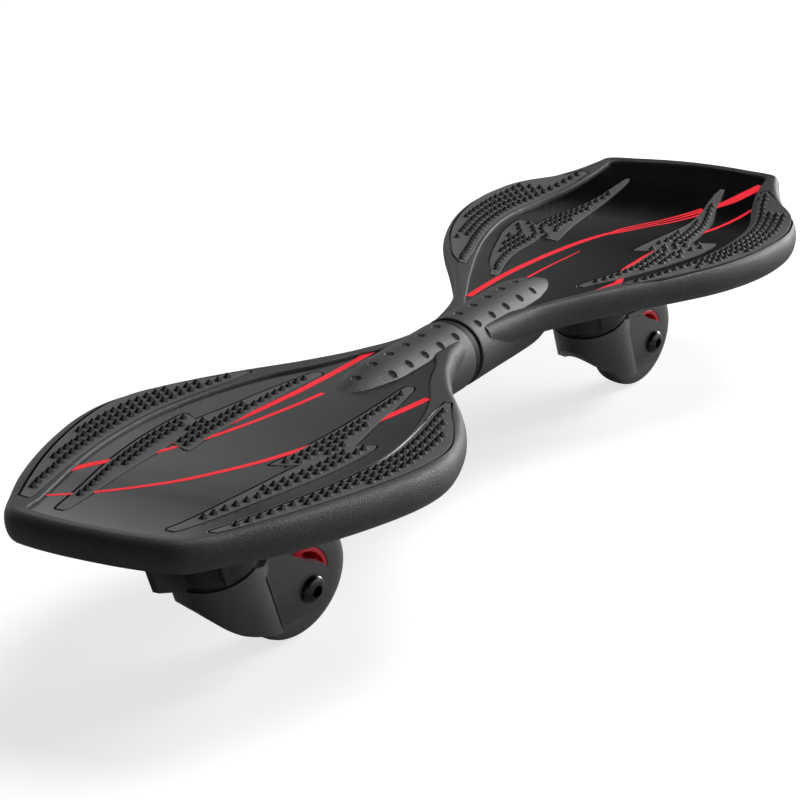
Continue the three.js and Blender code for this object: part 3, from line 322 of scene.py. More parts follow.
def land_lift(deck, u, inward_share):
    """The extra height between the rim's edge (0) and the pan's edge (1)."""
    rows = deck["smooth_lifts"]
    at_pan, at_rim = read_at(rows, u, 1), read_at(rows, u, 2)
    return at_rim + (at_pan - at_rim) * min(1, inward_share)


def top_height(deck, u, w):
    pan, rim = read_at(deck["pan"], u, 1), read_at(deck["stations"], u, 1)
    beyond = w - pan
    if beyond > 0:
        inward_share = max(0, 1 - beyond / max(rim - pan, 1))
        land = LAND_RISE + LAND_SLOPE * beyond + land_lift(deck, u, inward_share)
        return RIM_HEIGHT + curl(deck, u) + land
    return pan_height(deck, u)


def mesh_object(name, points, faces, materials, face_slots=None):
    """An object at the origin whose mesh is given in millimetres."""
    mesh = bpy.data.meshes.new(name)
    mesh.from_pydata([tuple(MM * part for part in point) for point in points], [], faces)
    for material in materials:
        mesh.materials.append(material)
    if face_slots:
        mesh.polygons.foreach_set("material_index", face_slots)
    tidy = bmesh.new()
    tidy.from_mesh(mesh)
    bmesh.ops.remove_doubles(tidy, verts=tidy.verts, dist=1e-7)
    bmesh.ops.recalc_face_normals(tidy, faces=tidy.faces)
    tidy.to_mesh(mesh)
    tidy.free()
    made = bpy.data.objects.new(name, mesh)
    bpy.context.collection.objects.link(made)
    return made


def bake(piece):
    """Turns what a piece's modifiers make into its own plain mesh."""
    bpy.context.view_layer.update()
    evaluated = piece.evaluated_get(bpy.context.evaluated_depsgraph_get())
    plain = bpy.data.meshes.new_from_object(evaluated)
    piece.modifiers.clear()
    piece.data = plain


def shade(piece, angle=32):
    """Smooth faces between sharp edges, with the wide faces leading the normals."""
    piece.data.polygons.foreach_set("use_smooth", [True] * len(piece.data.polygons))
    piece.data.set_sharp_from_angle(angle=math.radians(angle))
    weighted = piece.modifiers.new("weighted", "WEIGHTED_NORMAL")
    weighted.keep_sharp = True
    bake(piece)


def carve(body, join=(), keep=(), cut=()):
    """Joins tools to a body, keeps what is inside others, cuts others out, and removes them."""
    for operation, tools in (("UNION", join), ("INTERSECT", keep), ("DIFFERENCE", cut)):
        for tool in tools:
            change = body.modifiers.new(operation, "BOOLEAN")
            change.operation = operation
            change.solver = "MANIFOLD"
            change.object = tool
    bake(body)
    for tool in (*join, *keep, *cut):
        bpy.data.objects.remove(tool)


def turned(name, profile, place, sides=72, materials=()):
    """A closed turned solid: [radius, height] from the bottom, about the local Z axis."""
    points, rings = [], []
    for radius, height in profile:
        if radius < 1e-6:
            rings.append([len(points)] * sides)
            points.append(place @ Vector((0, 0, height)))
        else:
            rings.append(list(range(len(points), len(points) + sides)))
            for i in range(sides):
                turn = 2 * math.pi * i / sides
                spot = Vector((radius * math.cos(turn), radius * math.sin(turn), height))
                points.append(place @ spot)
    faces = []
    for low, high in zip(rings, rings[1:]):
        for i in range(sides):
            j = (i + 1) % sides
            face = list(dict.fromkeys([low[i], low[j], high[j], high[i]]))
            if len(face) > 2:
                faces.append(face)
    return mesh_object(name, points, faces, materials)


def turned_ring(name, inner, outer, low, high, place, sides=72, materials=(), soft=0.3):
    profile = [
        (inner, low), (outer - soft, low), (outer, low + soft), (outer, high - soft),
        (outer - soft, high), (inner, high), (inner, low),
    ]
    return turned(name, profile, place, sides, materials)


def rod(name, radius, low, high, place, sides=48, materials=()):
    return turned(name, [(0, low), (radius, low), (radius, high), (0, high)], place, sides, materials)


def block(name, low, high, place=Matrix()):
    points = [
        place @ Vector((x, y, z)) for x in (low[0], high[0]) for y in (low[1], high[1])
        for z in (low[2], high[2])
    ]
    faces = [(0, 1, 3, 2), (4, 6, 7, 5), (0, 4, 5, 1), (2, 3, 7, 6), (0, 2, 6, 4), (1, 5, 7, 3)]
    return mesh_object(name, points, faces, ())


def prism(name, points, materials=()):
    """A solid between two flat outlines of as many points: one's points, then the other's."""
    count = len(points) // 2
    faces = [tuple(range(count)), tuple(range(2 * count - 1, count - 1, -1))]
    faces += [(i, (i + 1) % count, count + (i + 1) % count, count + i) for i in range(count)]
    return mesh_object(name, points, faces, materials)


def across(name, outline, half, place):
    """A flat outline of [x, z] points, as thick as twice the half in Y."""
    points = [place @ Vector((x, side * half, z)) for side in (-1, 1) for x, z in outline]
    return prism(name, points)


def lofted(name, deck, stations, upper_of, lower_of, materials, pan_from=None):
    """A closed body over a deck's outline, from two lists of [inward, height] for each station.

    A height counts from the rim's middle, or from the pan where it is a tuple.
    """
    def ring(station):
        rim_u, rim_w, pan_u, pan_w = station
        reach = math.hypot(pan_u - rim_u, pan_w - rim_w)
        spots = []
        above = len(upper_of(reach))
        for k, (inward, height) in enumerate(upper_of(reach) + lower_of(reach)):
            u = rim_u + (pan_u - rim_u) * inward / reach
            w = max(0, rim_w + (pan_w - rim_w) * inward / reach)
            if isinstance(height, tuple):
                z = pan_height(deck, u) + height[0]
            else:
                z = RIM_HEIGHT + curl(deck, u) + height
                if k < above:
                    z += land_lift(deck, u, inward / reach) * min(1, height / LAND_RISE)
            spots.append((board_x(deck, u), w, z))
        return spots

    half = [ring(station) for station in stations]
    upper = len(upper_of(RIM_REACH))
    near = [[(x, -w, z) for x, w, z in spots] for spots in half]
    loop = near + half[-2::-1]
    count = len(loop[0])
    last = len(loop) - 1
    middle = last // 2
    points = [spot for spots in loop for spot in spots]
    faces, slots = [], []

    def add(face, slot=0):
        faces.append(face)
        slots.append(slot)

    for i in range(last):
        a, b = i * count, (i + 1) * count
        for k in range(count):
            n = (k + 1) % count
            if k in (upper - 1, count - 1):
                continue
            panned = pan_from is not None and pan_from <= k < upper
            add((a + k, b + k, b + n, a + n), 1 if panned else 0)
        add((a + upper, b + upper, b, a))
    for i in range(middle):
        for ring_at, slot in ((upper - 1, 1 if pan_from is not None else 0), (count - 1, 0)):
            low, high = i * count + ring_at, (i + 1) * count + ring_at
            far_low, far_high = (last - i) * count + ring_at, (last - i - 1) * count + ring_at
            face = (low, high, far_low) if i == middle - 1 else (low, high, far_high, far_low)
            add(face, slot)
    mouth = [*range(upper), *range(last * count + upper - 1, last * count - 1, -1)]
    mouth += [*range(last * count + upper, last * count + count), *range(count - 1, upper - 1, -1)]
    add(tuple(mouth))
    return mesh_object(name, points, faces, materials, slots)


def rim_share(reach):
    return max(0.5, min(1, reach / RIM_REACH))


def deck_top(reach):
    """The rounded rim, the land, the groove at its foot and the start of the pan."""
    width = RIM_TOP_SHARE * min(rim_share(reach) * RIM_REACH, reach)
    rim = []
    for step in range(RIM_STEPS + 1):
        turn = math.pi / 2 * step / RIM_STEPS
        inward = width * (1 - math.cos(turn))
        rim.append((inward, math.sin(turn) * (LAND_RISE + LAND_SLOPE * (reach - inward))))
    land = [(width + share * (reach - 1 - width)) for share in (0.35, 0.7)] + [reach - 1.6]
    rim += [(inward, LAND_RISE + LAND_SLOPE * (reach - inward)) for inward in land]
    edge = [(reach + out, LAND_RISE - drop) for out, drop in LAND_EDGE]
    return rim + edge + [(reach + out, (-depth,)) for out, depth in PAN_GROOVE]


def deck_under(reach):
    scale = rim_share(reach) * RIM_REACH
    rolled = []
    for step in range(1, RIM_STEPS + 1):
        turn = math.pi / 2 * step / RIM_STEPS
        rolled.append((RIM_UNDER_SHARE * scale * (1 - math.cos(turn)), -RIM_DROP * math.sin(turn)))
    inside = [(width * scale, -drop * RIM_DROP) for width, drop in SKIRT_INSIDE]
    return rolled + inside + [(SKIRT_FOOT * scale, (-PLATE_THICKNESS,))]


def on_neck(deck=None):
    """The neck's own frame: local Z runs along +X, or toward a deck's own end."""
    turn = math.radians(90 if deck is None else 90 * deck["side"])
    return Matrix.Translation((PARTING_X, 0, NECK_HEIGHT)) @ Matrix.Rotation(turn, 4, "Y")


def on_swivel(deck, rest=False):
    """The frame of a swivel axis, its origin at the top of the fork's head."""
    place = Matrix.Translation((board_x(deck, deck["swivel_at"]), 0, deck["swivel_height"]))
    place = place @ Matrix.Rotation(-CASTER_LEAN, 4, "Y")
    if rest:
        place = place @ Matrix.Rotation(math.radians(deck["swivel_rest"]), 4, "Z")
    return place


BARREL_EDGE = 1.2
FAIRING_STEPS = 40
FAIRING = [
    # [share of the fairing's length, share of the barrel's radius]
    (0, 1), (0.3, 1), (0.6, 1), (0.7, 0.93), (0.78, 0.85), (0.86, 0.72), (0.94, 0.58), (1, 0.35),
]


def fairing_radius(deck, u):
    rows = smoothed(FAIRING, 6)
    return BARREL_RADIUS * read_at(rows, u / deck["fairing"], 1)


def deck_barrel(deck):
    start, reach = deck["barrel_start"], deck["fairing"]
    full = start + BARREL_EDGE
    profile = [(0, start), (BARREL_RADIUS - BARREL_EDGE, start)]
    profile += [(BARREL_RADIUS - 0.35, start + 0.35), (BARREL_RADIUS, full)]
    for step in range(1, FAIRING_STEPS + 1):
        u = full + (reach - full) * step / FAIRING_STEPS
        profile.append((fairing_radius(deck, u), u))
    return turned("barrel", profile + [(0, reach)], on_neck(deck), 96)


DIMPLE_BALL = 3.7
DIMPLE_DEPTH = 2.3
DIMPLE_PITCH = 21.6
DIMPLE_MARGIN = 11.5
DIMPLE_ROWS = [(0, 6), (36, 5), (-36, 5)]  # degrees round the barrel, and how many


def repeat_tree(name, sizes, shape):
    """A tree that puts one shape on each point, turned to the point's facing direction."""
    tree = bpy.data.node_groups.new(name, "GeometryNodeTree")
    for socket, kind in [("Geometry", "Geometry"), *sizes, ("Finish", "Material")]:
        tree.interface.new_socket(socket, in_out="INPUT", socket_type="NodeSocket" + kind)
    tree.interface.new_socket("Geometry", in_out="OUTPUT", socket_type="NodeSocketGeometry")
    given = node(tree, "NodeGroupInput")
    spots = node(tree, "GeometryNodeMeshToPoints", {"Mesh": given.outputs["Geometry"]})
    facing = node(
        tree, "GeometryNodeInputNamedAttribute", {"Name": "facing"}, data_type="FLOAT_VECTOR",
    )
    way = {"Vector": facing.outputs["Attribute"]}
    turn = node(tree, "FunctionNodeAlignRotationToVector", way, axis="Z")
    placed = node(tree, "GeometryNodeInstanceOnPoints", {
        "Points": spots.outputs["Points"],
        "Rotation": turn.outputs["Rotation"],
        "Instance": shape(tree, given),
    })
    real = node(tree, "GeometryNodeRealizeInstances", {"Geometry": placed.outputs["Instances"]})
    finish = node(tree, "GeometryNodeSetMaterial", {
        "Geometry": real.outputs["Geometry"],
        "Material": given.outputs["Finish"],
    })
    node(tree, "NodeGroupOutput", {"Geometry": finish.outputs["Geometry"]})
    return tree


def repeated(name, tree, spots, values, finish):
    """A plain mesh object of the tree's shape at each [place, facing] spot, in millimetres."""
    mesh = bpy.data.meshes.new(name)
    mesh.from_pydata([tuple(MM * part for part in place) for place, _ in spots], [], [])
    facing = mesh.attributes.new("facing", "FLOAT_VECTOR", "POINT")
    facing.data.foreach_set("vector", [part for _, way in spots for part in way])
    made = bpy.data.objects.new(name, mesh)
    bpy.context.collection.objects.link(made)
    change = made.modifiers.new(tree.name, "NODES")
    change.node_group = tree
    values = {**values, "Finish": finish}
    for item in tree.interface.items_tree:
        if item.in_out == "INPUT" and item.name in values:
            change[item.identifier] = values[item.name]
    bake(made)
    return made


def dimple_shape(tree, given):
    sizes = {"Segments": 20, "Rings": 12, "Radius": given.outputs["Ball Radius"]}
    return node(tree, "GeometryNodeMeshUVSphere", sizes).outputs["Mesh"]


dimple_tree = repeat_tree("dimple_balls", [("Ball Radius", "Float")], dimple_shape)


def grained_plastic(name, colour, roughness, grain, depth, contrast=0.1, gloss=0.5):
    """Moulded nylon: a fine spark-eroded grain, faint flow marks and worn, duller patches."""
    material, tree, shader, where = surface(name)

    def noise(scale, detail):
        inputs = {"Vector": where, "Scale": scale, "Detail": detail}
        return node(tree, "ShaderNodeTexNoise", inputs).outputs["Fac"]

    pits = noise(grain, 2)
    speckle = ranged(tree, pits, 1 - contrast, 1 + contrast, 0.3, 0.7)
    flow = mottled(tree, noise(24, 4), colour, 0.86, 1.14)
    grainy = node(tree, "ShaderNodeVectorMath", {"Vector": flow, "Scale": speckle}, operation="SCALE")
    bump = node(tree, "ShaderNodeBump", {"Strength": 1, "Distance": depth, "Height": pits})
    feed(tree, shader, {
        "Specular IOR Level": gloss,
        "Base Color": grainy.outputs["Vector"],
        "Roughness": ranged(tree, noise(70, 3), roughness - 0.06, roughness + 0.06),
        "Normal": bump.outputs["Normal"],
    })
    return material


def tint(red, green, blue):
    """A colour as it is seen on a screen, from 0 to 255, made linear."""
    return tuple(
        part / 255 / 12.92 if part <= 10 else ((part / 255 + 0.055) / 1.055) ** 2.4
        for part in (red, green, blue)
    )


rim_colour = tint(46, 47, 48)
rim_plastic = grained_plastic("grained_black_nylon", rim_colour, 0.55, 1100, 0.0004, 0.35, 0.35)
pan_plastic = grained_plastic("satin_black_nylon", tint(6, 6, 7), 0.2, 2600, 0.00001)

LONG_RIBS = (0.34, 0.62)  # shares of the half width, on both sides
CROSS_RIBS = (0.34, 0.47, 0.6, 0.73, 0.86)  # shares of the length
RIB_THICKNESS = 3
RIB_DEPTH = 9
RIB_SPARE = 5
RIB_INSET = 0.5  # share of the rim's reach
RIB_TOP = 2
NECK_BLOCK_REACH = 95
BOSS_RADIUS = 29
BOSS_FACE = 5.5
GUSSET_COUNT = 8
LONG_GUSSETS = {"front": (135, 180, 225), "rear": (0, 45, 315)}  # degrees, toward the deck's end
GUSSET_REACH = 24
GUSSET_FOOT = 4
GUSSET_SLOPE = 0.8
GUSSET_HALF = 2
PILASTER = 2  # how far the other gussets stand out
BOARD_ROOM = 1000  # longer than the board
SPINE_START, SPINE_HALF = 120, 15
# holes: radius, and from where to where along their axis
BORES = {"front": [(13, 0, 92.3)], "rear": [(16.3, 0, 93.5), (19.3, 0, 3.5)]}
BOLT_HOLES = [(5.8, 60, 83.2), (3.3, 83, 115.4)]
KINGPIN_ROOM = (9, 0, 11.8)


def between(deck, u_low, u_high):
    return sorted([board_x(deck, u_low), board_x(deck, u_high)])


def rib_room(reach):
    return [(RIB_INSET * rim_share(reach) * RIM_REACH, (-RIB_TOP,))]


def rib_floor(reach):
    return [(RIB_INSET * rim_share(reach) * RIM_REACH, (-PLATE_THICKNESS - RIB_DEPTH,))]


def rib(deck, x_ends, y_ends):
    """A rib under the plate, to be joined to the deck."""
    low = RIM_HEIGHT - RIM_DROP - RIB_SPARE
    high = RIM_HEIGHT + deck["end_rise"] + 2 * RIB_SPARE
    made = block("rib", (x_ends[0], y_ends[0], low), (x_ends[1], y_ends[1], high))
    room = lofted("room", deck, deck["stations"][::3], rib_room, rib_floor, ())
    carve(made, keep=[room])
    return made


def caster_boss(deck):
    """The leaning boss under the deck, with its gussets, cut off inside the plate."""
    axis = on_swivel(deck)
    lid = pan_height(deck, deck["swivel_at"] - BOSS_RADIUS) - 1
    reach = RIM_DROP + BOSS_RADIUS * math.tan(CASTER_LEAN) + RIM_HEIGHT
    boss = rod("boss", BOSS_RADIUS, BOSS_FACE, reach, axis, 72)
    start = BOSS_FACE + 1
    gussets = []
    for i in range(GUSSET_COUNT):
        angle = 360 * i / GUSSET_COUNT
        foot = out = PILASTER
        if angle in LONG_GUSSETS[deck["name"]]:
            foot, out = GUSSET_FOOT, GUSSET_REACH
        web = [
            (0, start), (BOSS_RADIUS + foot, start), (BOSS_RADIUS + out, start + GUSSET_SLOPE * out),
            (BOSS_RADIUS + out, reach), (0, reach),
        ]
        turn = axis @ Matrix.Rotation(math.radians(angle), 4, "Z")
        gussets.append(across("gusset", web, GUSSET_HALF, turn))
    above = block("above", (-BOARD_ROOM, -deck["half"], lid), (BOARD_ROOM, deck["half"], lid + 2 * reach))
    carve(boss, join=gussets, cut=[above])
    return boss


def dimples(deck):
    """Balls that stand in the barrel's surface, in rows along it."""
    spots = []
    for angle, count in DIMPLE_ROWS:
        turn = math.radians(angle)
        for i in range(count):
            u = deck["barrel_start"] + DIMPLE_MARGIN + i * DIMPLE_PITCH
            radius = fairing_radius(deck, u) + DIMPLE_BALL - DIMPLE_DEPTH
            spots.append((
                (board_x(deck, u), radius * math.sin(turn), NECK_HEIGHT + radius * math.cos(turn)),
                (0, math.sin(turn), math.cos(turn)),
            ))
    return repeated("balls", dimple_tree, spots, {"Ball Radius": DIMPLE_BALL * MM}, rim_plastic)


for deck_name, deck in DECKS.items():
    length, half = deck["length"], deck["half"]
    body = lofted(
        f"{deck_name}_foot_deck", deck, deck["stations"], deck_top, deck_under,
        [rim_plastic, pan_plastic], pan_from=PAN_RING,
    )
    added = []
    for at in [share * side_y * half for share in LONG_RIBS for side_y in (-1, 1)]:
        y_ends = (at - RIB_THICKNESS / 2, at + RIB_THICKNESS / 2)
        added.append(rib(deck, between(deck, NECK_BLOCK_REACH, length), y_ends))
    crossing = [(share, RIB_THICKNESS) for share in CROSS_RIBS]
    for at, thick in crossing + [(NECK_BLOCK_REACH / 2 / length, NECK_BLOCK_REACH)]:
        x_ends = between(deck, at * length - thick / 2, at * length + thick / 2)
        added.append(rib(deck, x_ends, (-half, half)))
    spine_ends = between(deck, SPINE_START, deck["swivel_at"])
    spine = block("spine", (spine_ends[0], -SPINE_HALF, NECK_HEIGHT - BARREL_RADIUS / 2),
                  (spine_ends[1], SPINE_HALF, pan_height(deck, SPINE_START) - 1))
    added += [caster_boss(deck), spine, deck_barrel(deck)]
    deck["bolt_place"] = Matrix.Translation((board_x(deck, deck["bolt_at"]), 0, 0))
    holes = [dimples(deck)]
    holes += [rod("bore", *bore, on_neck(deck), 72) for bore in BORES[deck_name]]
    holes += [rod("hole", *hole, deck["bolt_place"], 32) for hole in BOLT_HOLES]
    holes.append(rod("kingpin_room", *KINGPIN_ROOM, on_swivel(deck), 48))
    carve(body, join=added, cut=holes)
    deck["body"] = body

# Stripes: red film printed into the pans. Each is a ribbon of its own curve and width.
# They run from near the end rims to the neck and pass under the inner grip pads.
STRIPE_LIFT = 0.07
STRIPE_SUNK = 0.3
STRIPES = {
    "front": [
        # [x, y, width] along each ribbon, in the board's frame
        [(-355, 67.5, 5), (-333, 59, 5.5), (-308, 43.5, 4), (-289, 36, 3), (-269, 29.2, 3),
         (-249, 24.4, 3), (-228, 19.9, 3), (-206, 16, 3), (-186, 12.6, 3.1), (-163, 9.8, 3.2)],
        [(-300, 45.5, 2.5), (-262, 36.5, 3), (-240, 31, 3.4), (-208, 27.6, 4), (-186, 25.9, 4.4),
         (-166, 24.4, 4.7), (-145, 23.8, 4.7), (-125, 23.2, 4.7), (-104, 23.1, 4.7), (-74, 23.3, 4.7)],
        [(-386, 52.5, 2.6), (-378, 43, 2.8), (-367, 31, 3), (-349, 14.5, 3.3), (-332, 2, 3.6),
         (-313, -7.6, 3.8), (-292, -16.6, 3.9), (-271, -23.8, 4), (-250, -29.8, 4.2), (-218, -37.6, 4.5),
         (-186, -43.8, 4.8), (-166, -47, 5), (-143, -50, 5)],
    ],
    "rear": [
        [(70, 25.6, 4.8), (90, 26.3, 4.8), (119, 26.5, 4.8), (149, 25, 4.8), (179, 22.2, 4.7),
         (199, 19.5, 4.7), (219, 15.9, 4.8), (239, 10.8, 4.7), (257, 4.5, 4.2), (274, -3, 2.4),
         (295, -12.2, 2), (320, -25, 2.2), (345, -38.5, 3.6), (359, -47.5, 6.4), (370, -53.5, 8.2),
         (386, -60, 8.6), (402, -65.5, 8.8)],
        [(263, 2.7, 0.6), (276, -0.2, 1.8), (299, -9.7, 2), (324, -22.4, 2.2), (349, -36.5, 2.6)],
        [(259, 1, 0.6), (272, -5.8, 1.8), (292, -15.2, 2), (316, -28, 2.2), (340, -41, 2.6)],
        [(128, 9.2, 2), (150, 8.6, 1.8), (175, 7, 1.5), (195, 5.2, 1.1), (210, 4, 0.7)],
        [(120, -46.8, 5), (134, -49.4, 5), (148, -51.2, 4.8), (176, -43.4, 3.8), (201, -43, 3.7),
         (228, -44.6, 3.6), (270, -52.6, 3.2), (312, -62, 3), (341, -69, 3), (362, -74.5, 2.4),
         (376, -77.5, 1.8)],
    ],
}

stripe_red = grained_plastic("red_film", tint(236, 40, 54), 0.5, 2600, 0.00002, 0.05, 0.12)
for deck_name, ribbons in STRIPES.items():
    deck = DECKS[deck_name]
    points, faces = [], []
    for ribbon in ribbons:
        line = smoothed(ribbon, 8)
        first = len(points)
        for i, (x, y, width) in enumerate(line):
            before, after = line[max(i - 1, 0)], line[min(i + 1, len(line) - 1)]
            along = Vector((after[0] - before[0], after[1] - before[1])).normalized()
            for share in (0.5, -0.5):
                px, py = x - along.y * width * share, y + along.x * width * share
                z = pan_height(deck, abs(px - PARTING_X))
                points += [(px, py, z + STRIPE_LIFT), (px, py, z - STRIPE_SUNK)]
        for i in range(len(line) - 1):
            a, b = first + 4 * i, first + 4 * i + 4
            faces += [(a, a + 2, b + 2, b), (a + 2, a + 3, b + 3, b + 2)]
            faces += [(a + 3, a + 1, b + 1, b + 3), (a + 1, a, b, b + 1)]
        end = first + 4 * (len(line) - 1)
        faces += [(first, first + 1, first + 3, first + 2), (end, end + 2, end + 3, end + 1)]
    stripes = mesh_object(f"{deck_name}_stripes", points, faces, [stripe_red])
    shade(stripes)
    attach(stripes, f"{deck_name}_board")

# Grip pads: rubbery blades that are seated in pockets of the land and the pan, four on each
# deck. Each is moulded with rows of small pointed studs, and stands a little proud.
PAD_GAP = 1.4
PAD_SUNK = 1.3
PAD_STEPS = 7
PAD_PROUD = {"outer": 0.15, "inner": 0.25}
STUD_RADIUS = 3.1
STUD_HEIGHT = 2
STUD_TIP = 0.9
STUD_PITCH = 8
STUD_ROW_PITCH = 5.8
STUD_MARGIN = 5
STUD_TIP_WIDTH = 8.4  # no stud where a blade is narrower
STUD_SPARE = 6.2  # least distance between two studs
STUD_LINES = 6
STUD_SUNK = 0.15
STUD_SIZES = [("Radius", "Float"), ("Tip Radius", "Float"), ("Height", "Float")]
POCKET_REACH = 5  # how far above the deck a pocket's tool stands
POCKET_SPARE = 0.3
PADS = {
    # blades: [share of the length, inner edge, outer edge as shares of the half width]
    "front": {
        "outer": [[
            (0.337, 0.58, 0.612), (0.375, 0.592, 0.68), (0.432, 0.633, 0.795), (0.496, 0.672, 0.898),
            (0.558, 0.695, 0.93), (0.625, 0.69, 0.905), (0.706, 0.655, 0.835), (0.785, 0.6, 0.742),
            (0.862, 0.535, 0.632), (0.915, 0.485, 0.545), (0.926, 0.485, 0.525),
        ]],
        "inner": [
            [
                (0.528, 0.535, 0.548), (0.536, 0.49, 0.556), (0.548, 0.447, 0.56), (0.6, 0.39, 0.553),
                (0.66, 0.352, 0.534), (0.753, 0.331, 0.474), (0.8365, 0.304, 0.403),
                (0.9, 0.282, 0.35), (0.926, 0.269, 0.325), (0.932, 0.28, 0.311),
            ],
            [
                (0.2795, 0.259, 0.289), (0.288, 0.25, 0.307), (0.308, 0.25, 0.32),
                (0.3695, 0.259, 0.362), (0.4666, 0.2635, 0.409), (0.555, 0.253, 0.455),
                (0.6115, 0.2446, 0.42), (0.645, 0.232, 0.35), (0.661, 0.228, 0.245),
            ],
        ],
    },
    "rear": {
        "outer": [[
            (0.333, 0.465, 0.504), (0.367, 0.504, 0.598), (0.416, 0.551, 0.693), (0.493, 0.63, 0.819),
            (0.584, 0.693, 0.913), (0.683, 0.709, 0.953), (0.756, 0.677, 0.909), (0.796, 0.646, 0.843),
            (0.844, 0.598, 0.724), (0.894, 0.563, 0.598),
        ]],
        "inner": [
            [
                (0.54, 0.232, 0.25), (0.552, 0.236, 0.34), (0.579, 0.248, 0.42), (0.614, 0.266, 0.473),
                (0.667, 0.288, 0.468), (0.73, 0.306, 0.444), (0.777, 0.307, 0.41), (0.822, 0.3, 0.37),
                (0.856, 0.291, 0.35), (0.885, 0.289, 0.328), (0.9, 0.294, 0.32),
            ],
            [
                (0.308, 0.243, 0.273), (0.318, 0.243, 0.29), (0.339, 0.257, 0.322), (0.38, 0.299, 0.394),
                (0.446, 0.343, 0.48), (0.509, 0.346, 0.547), (0.552, 0.35, 0.591),
                (0.584, 0.409, 0.609), (0.613, 0.472, 0.617), (0.631, 0.591, 0.614),
            ],
        ],
    },
}
EDGE_ROUND = 0.3


def blade_rows(deck, shares):
    return [
        (u * deck["length"], inner * deck["half"], outer * deck["half"])
        for u, inner, outer in smoothed(shares, PAD_STEPS)
    ]


def blade(name, deck, shares, side_y, grow, above, below, materials):
    """A blade over the deck's top, from below it to above it, with rounded upper edges."""
    rows = blade_rows(deck, shares)
    rows[0] = (rows[0][0] - grow, *rows[0][1:])
    rows[-1] = (rows[-1][0] + grow, *rows[-1][1:])
    points = []
    for u, inner, outer in rows:
        soft = min(EDGE_ROUND, (outer - inner) / 4)
        inner, outer = inner - grow, outer + grow
        section = [
            (inner, -below), (outer, -below), (outer, above - soft),
            (outer - 0.3 * soft, above - 0.3 * soft), (outer - soft, above), (inner + soft, above),
            (inner + 0.3 * soft, above - 0.3 * soft), (inner, above - soft),
        ]
        for w, lift in section:
            z = top_height(deck, u, (inner + outer) / 2 if grow else w) + lift
            points.append((board_x(deck, u), side_y * w, z))
    count = 8
    faces = [tuple(range(count)), tuple(range(len(points) - 1, len(points) - count - 1, -1))]
    for i in range(len(rows) - 1):
        for k in range(count):
            n = (k + 1) % count
            faces.append((count * i + k, count * i + n, count * (i + 1) + n, count * (i + 1) + k))
    return mesh_object(name, points, faces, materials)


def stud_spots(deck, place, side_y):
    """Rows of studs that follow a blade's edge, staggered, in the order they are laid."""
    taken = []
    for number, shares in enumerate(reversed(PADS[deck["name"]][place])):
        rows = blade_rows(deck, shares)
        from_outer = number > 0
        for line in range(STUD_LINES):
            u = rows[0][0] + STUD_PITCH * (0.5 if line % 2 else 0)
            while u < rows[-1][0]:
                inner, outer = read_at(rows, u, 1), read_at(rows, u, 2)
                width = outer - inner
                offset = min(STUD_MARGIN, width / 2) + line * STUD_ROW_PITCH
                w = outer - offset if from_outer else inner + offset
                last = max(width - STUD_MARGIN, width / 2) + 0.1
                fits = width >= STUD_TIP_WIDTH and offset <= last
                clear = all(math.hypot(u - a, w - b) >= STUD_SPARE for a, b in taken)
                if fits and clear:
                    taken.append((u, w))
                u += STUD_PITCH
    spots = []
    for u, w in taken:
        rise = top_height(deck, u + 1, w) - top_height(deck, u - 1, w)
        way = Vector((-deck["side"] * rise / 2, 0, 1)).normalized()
        height = top_height(deck, u, w) + PAD_PROUD[place] - STUD_SUNK
        spots.append(((board_x(deck, u), side_y * w, height), tuple(way)))
    return spots


def stud_shape(tree, given):
    """A cone, and on it a ball that rounds its tip."""
    radius, tip_radius, height = (given.outputs[size] for size, _ in STUD_SIZES)
    cone = node(tree, "GeometryNodeMeshCone", {
        "Vertices": 14, "Radius Bottom": radius, "Radius Top": tip_radius, "Depth": height,
    })
    tip = node(tree, "GeometryNodeMeshUVSphere", {"Segments": 10, "Rings": 6, "Radius": tip_radius})
    up = node(tree, "ShaderNodeCombineXYZ", {"Z": height})
    lift = node(tree, "GeometryNodeTransform", {
        "Geometry": tip.outputs["Mesh"],
        "Translation": up.outputs["Vector"],
    })
    both = node(tree, "GeometryNodeJoinGeometry", {"Geometry": cone.outputs["Mesh"]})
    feed(tree, both, {"Geometry": lift.outputs["Geometry"]})
    return both.outputs["Geometry"]


stud_tree = repeat_tree("grip_studs", STUD_SIZES, stud_shape)
pad_rubber = grained_plastic("grip_pad_rubber", tint(74, 74, 75), 0.55, 2000, 0.00005, 0.1, 0.3)
# The studs get the pad's rubber made near black: painted shade for the studs' flanks that face away from
# the light.
painted_shade_stud_rubber = grained_plastic("near_black_painted_shade_studs", tint(4, 4, 5), 0.42, 2600, 0.00003, 0.1, 0.14)


def joined_mesh(piece, extras):
    """Adds the meshes of other objects to a piece, with their materials, and removes them."""
    grown = bmesh.new()
    grown.from_mesh(piece.data)
    for extra in extras:
        start = len(piece.data.materials)
        before = len(grown.faces)
        grown.from_mesh(extra.data)
        grown.faces.ensure_lookup_table()
        for face in grown.faces[before:]:
            face.material_index += start
        for material in extra.data.materials:
            piece.data.materials.append(material)
        bpy.data.objects.remove(extra)
    grown.to_mesh(piece.data)
    grown.free()


